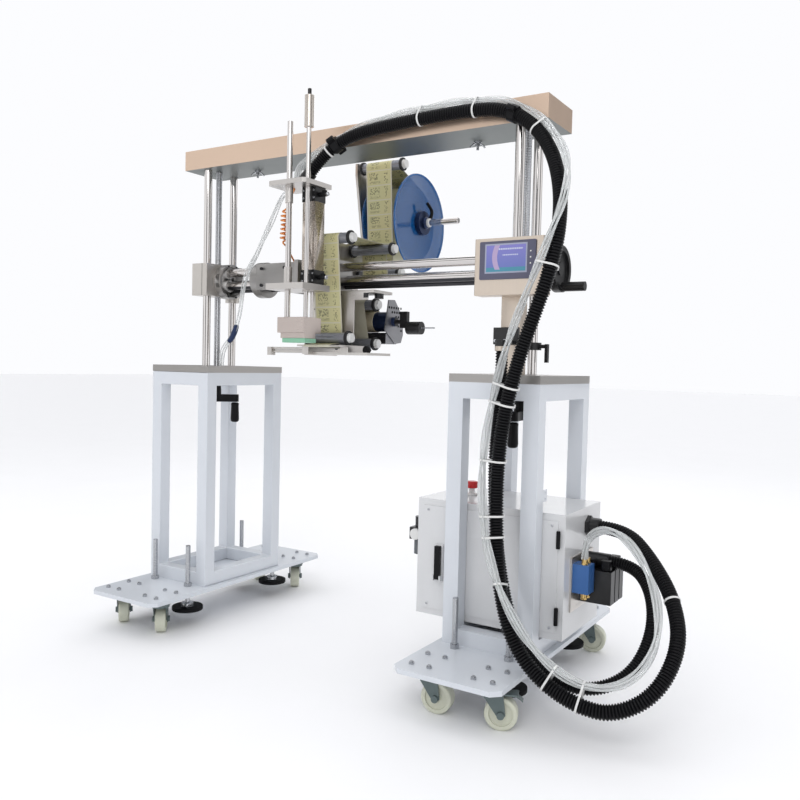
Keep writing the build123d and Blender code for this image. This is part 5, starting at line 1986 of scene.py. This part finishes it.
@dataclass
class Panel:
    """Operator panel: housing, bezel and lit screen."""

    front: float = -0.179
    screen_x: Pair = (0.509, 0.610)
    screen_z: Pair = (1.029, 1.091)
    lamps_x: float = 0.622
    lamps_z: Triple = (1.074, 1.060, 1.046)
    lamp_size: float = 0.003

    def glass(self) -> bpy.types.Material:
        """Bezel with a lit picture: a violet to teal ground, a pale sweep and short bars."""
        board = Board("screen_glass")
        x0, x1 = self.screen_x
        z0, z1 = self.screen_z
        u = (board.x - x0) / (x1 - x0)
        v = (board.z - z0) / (z1 - z0)
        screen = u.between(0, 1) * v.between(0, 1) * (board.y < self.front + 0.001)
        border = u.between(-0.035, 1.035) * v.between(-0.06, 1.06) * (
            board.y < self.front + 0.001
        ) - screen
        ground = board.mixed(v, (0.09, 0.13, 0.36), (0.16, 0.15, 0.42))
        water = board.mixed(v.between(-0.1, 0.16), ground, (0.04, 0.20, 0.28))
        sweep = (u - 0.18 - ((v - 0.55) ** 2) * 0.35).between(-0.03, 0.10)
        pale = board.mixed(sweep * (v > 0.08), water, (0.34, 0.26, 0.42))
        bars = (u / 0.045).fraction().between(0.2, 0.8) * (
            v.between(0.82, 0.88) * u.between(0.3, 0.92)
        ).either(v.between(0.60, 0.645) * u.between(0.42, 0.82))
        lit = board.mixed(bars, pale, (0.50, 0.53, 0.62))
        fine = board.noise((700, 700, 700), 2.0)
        casing = board.shaded((0.075, 0.075, 0.125), 0.92 + fine * 0.16)
        face = board.mixed(screen, casing, lit)
        edged = board.mixed(border, face, (0.30, 0.32, 0.42))
        half = self.lamp_size / 2
        lamp = (board.x - self.lamps_x).between(-half, half) * (board.y < self.front + 0.001)
        rows = (board.z - self.lamps_z[0]).between(-half, half)
        for height in self.lamps_z[1:]:
            rows = rows.either((board.z - height).between(-half, half))
        shown = board.mixed(lamp * rows, edged, (0.8, 0.8, 0.75))
        glow = board.mixed(screen, (0, 0, 0), lit)
        tone = Tone(shown, 0.34 - screen * 0.2 + fine * 0.05, 0.0, fine * 0.000008)
        return board.finish(tone, Emission_Color=glow, Emission_Strength=0.18, Coat_Weight=0.2)

    def build(self, maker: Piece) -> None:
        """Dress the panel and its column."""
        maker.looks["screen_glass"] = self.glass()
        maker.solid("hmi_panel", Coat(Finish("screen_glass", (0.1, 0.1, 0.2))), 0.0012)
        clip = Region(y=(-0.30, -0.1281), z=(0.853, 0.905))
        maker.solid("hmi_column", Coat(CHAMPAGNE_Z, ((clip, BLACK_PLASTIC),)), 0.0015)
        bright = maker.material("zinc_steel", Coat(ZINC))
        screws = [(0.520, -0.138, 0.868), (0.545, -0.138, 0.868)]
        maker.add(
            "clip_screws",
            hex_head(0.0045, 0.004).repeated(screws, (0, -1, 0)),
            "base",
            bright,
            "zinc_steel",
        )
        foot = [(0.535, -0.128, 0.792), (0.571, -0.128, 0.792)]
        maker.add(
            "column_screws",
            cap_screw(0.0035, 0.003).repeated(foot, (0, -1, 0)),
            "base",
            bright,
            "zinc_steel",
        )


@dataclass
class Cabinet:
    """Control cabinet with its door, stop button, valves, filter and gland."""

    front: float = -0.128
    door_x: Pair = (0.325, 0.691)

    def build(self, maker: Piece) -> None:
        """Dress the cabinet and add its fittings."""
        maker.solid("cabinet_body", Coat(CABINET_GREY, constants=(("Coat_Weight", 0.4),)), 0.0012)
        maker.solid("door_handle", Coat(BLACK_PLASTIC), 0.0012)
        stem = Region(z=(0.40, 0.4819))
        maker.solid("estop_button", Coat(RED_PLASTIC, ((stem, WHITE_PLASTIC),)), 0.0015)
        slim = Region(x=(0.7121, 0.76), y=(-0.081, -0.039), z=(0.2699, 0.3391))
        unions = Region(x=(0.7121, 0.76), y=(-0.081, -0.039))
        coils = Region(x=(0.7121, 0.80), y=(-0.035, 0.063), z=(0.239, 0.3201))
        hose_end = Region(x=(0.7121, 0.80), y=(-0.005, 0.033), z=(0.3201, 0.36))
        gland = Region(x=(0.7079, 0.75), z=(0.385, 0.445))
        filter_head = Region(x=(0.2, 0.3081), z=(0.339, 0.42))
        bowl = Region(x=(0.2, 0.3081), z=(0.29, 0.3391))
        smoke = Finish("smoke_bowl", (0.10, 0.11, 0.12), 0.12, 0.0, EVEN_GRAIN, 0.05, 0.00001)
        regions = (
            (unions, BRASS),
            (slim, VALVE_BLUE),
            (coils, BLACK_PLASTIC),
            (hose_end, BLACK_PLASTIC),
            (gland, BLACK_PLASTIC),
            (filter_head, BLACK_PLASTIC),
            (bowl, smoke),
        )
        maker.solid("cabinet_fittings", Coat(ALUMINIUM, regions), 0.001)
        self.details(maker)

    def details(self, maker: Piece) -> None:
        """Hinges, base ring of the stop button, coil plugs, valve levers and the filter's dial."""
        black = maker.material("black_plastic", Coat(BLACK_PLASTIC))
        bright = maker.material("zinc_steel", Coat(ZINC))
        brass = maker.material("brass", Coat(BRASS))
        white = maker.material("white_plastic", Coat(WHITE_PLASTIC))
        ring = turned(
            [(0.015, 0), (0.015, 0.004), (0.012, 0.006), (0.0075, 0.006), (0.0075, 0.0195)], 28
        )
        maker.add(
            "stop_base", ring.placed((0.400, -0.005, 0.4621)), "base", white, "cabinet_grey", 0.0006
        )
        hinge = turned([(0.005, 0), (0.005, 0.040), (0.004, 0.042)], 14)
        hinges = [(self.door_x[1] + 0.003, self.front - 0.0055, z) for z in (0.200, 0.382)]
        maker.add("door_hinges", hinge.repeated(hinges), "base", black, "black_plastic", 0.0005)
        plug = slab((-0.012, -0.010, -0.012), (0.012, 0.010, 0.012), 0.003)
        plugs = [(0.735, y, 0.333) for y in (-0.020, 0.048)] + [
            (0.775, y, 0.333) for y in (-0.020, 0.048)
        ]
        maker.add("coil_plugs", plug.repeated(plugs), "base", black, "black_plastic", 0.0015)
        nut = turned([(0.008, 0), (0.008, 0.004), (0.0065, 0.005), (0.0065, 0.012)], 6)
        nuts = [(0.738, y, z) for y in (-0.0705, -0.0495) for z in (0.3531 - 0.014, 0.256)]
        maker.add("union_nuts", nut.repeated(nuts), "base", brass, "valve_blue", 0.0004)
        dial = turned([(0.014, 0), (0.015, 0.002), (0.015, 0.010), (0.013, 0.012)], 28)
        maker.add(
            "filter_dial",
            dial.placed((0.278, -0.082, 0.355), (0, -1, 0)),
            "base",
            white,
            "cabinet_grey",
            0.0005,
        )
        screws = [(x, self.front, z) for x in (0.340, 0.676) for z in (0.190, 0.434)]
        maker.add(
            "door_screws",
            cap_screw(0.0032, 0.002).repeated(screws, (0, -1, 0)),
            "base",
            bright,
            "zinc_steel",
        )


def main() -> None:
    """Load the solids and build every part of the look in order."""
    logging.basicConfig(level=logging.INFO, format="%(message)s")
    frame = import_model()
    Studio().build()
    maker = Piece(frame)
    Hoses().build(maker)
    for part in (Stands(), Lift(), Labels(), Reel(), Head(), Panel(), Cabinet()):
        part.build(maker)
        log.info("built %s", type(part).__name__)
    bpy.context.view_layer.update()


if __name__ == "__main__":
    main()
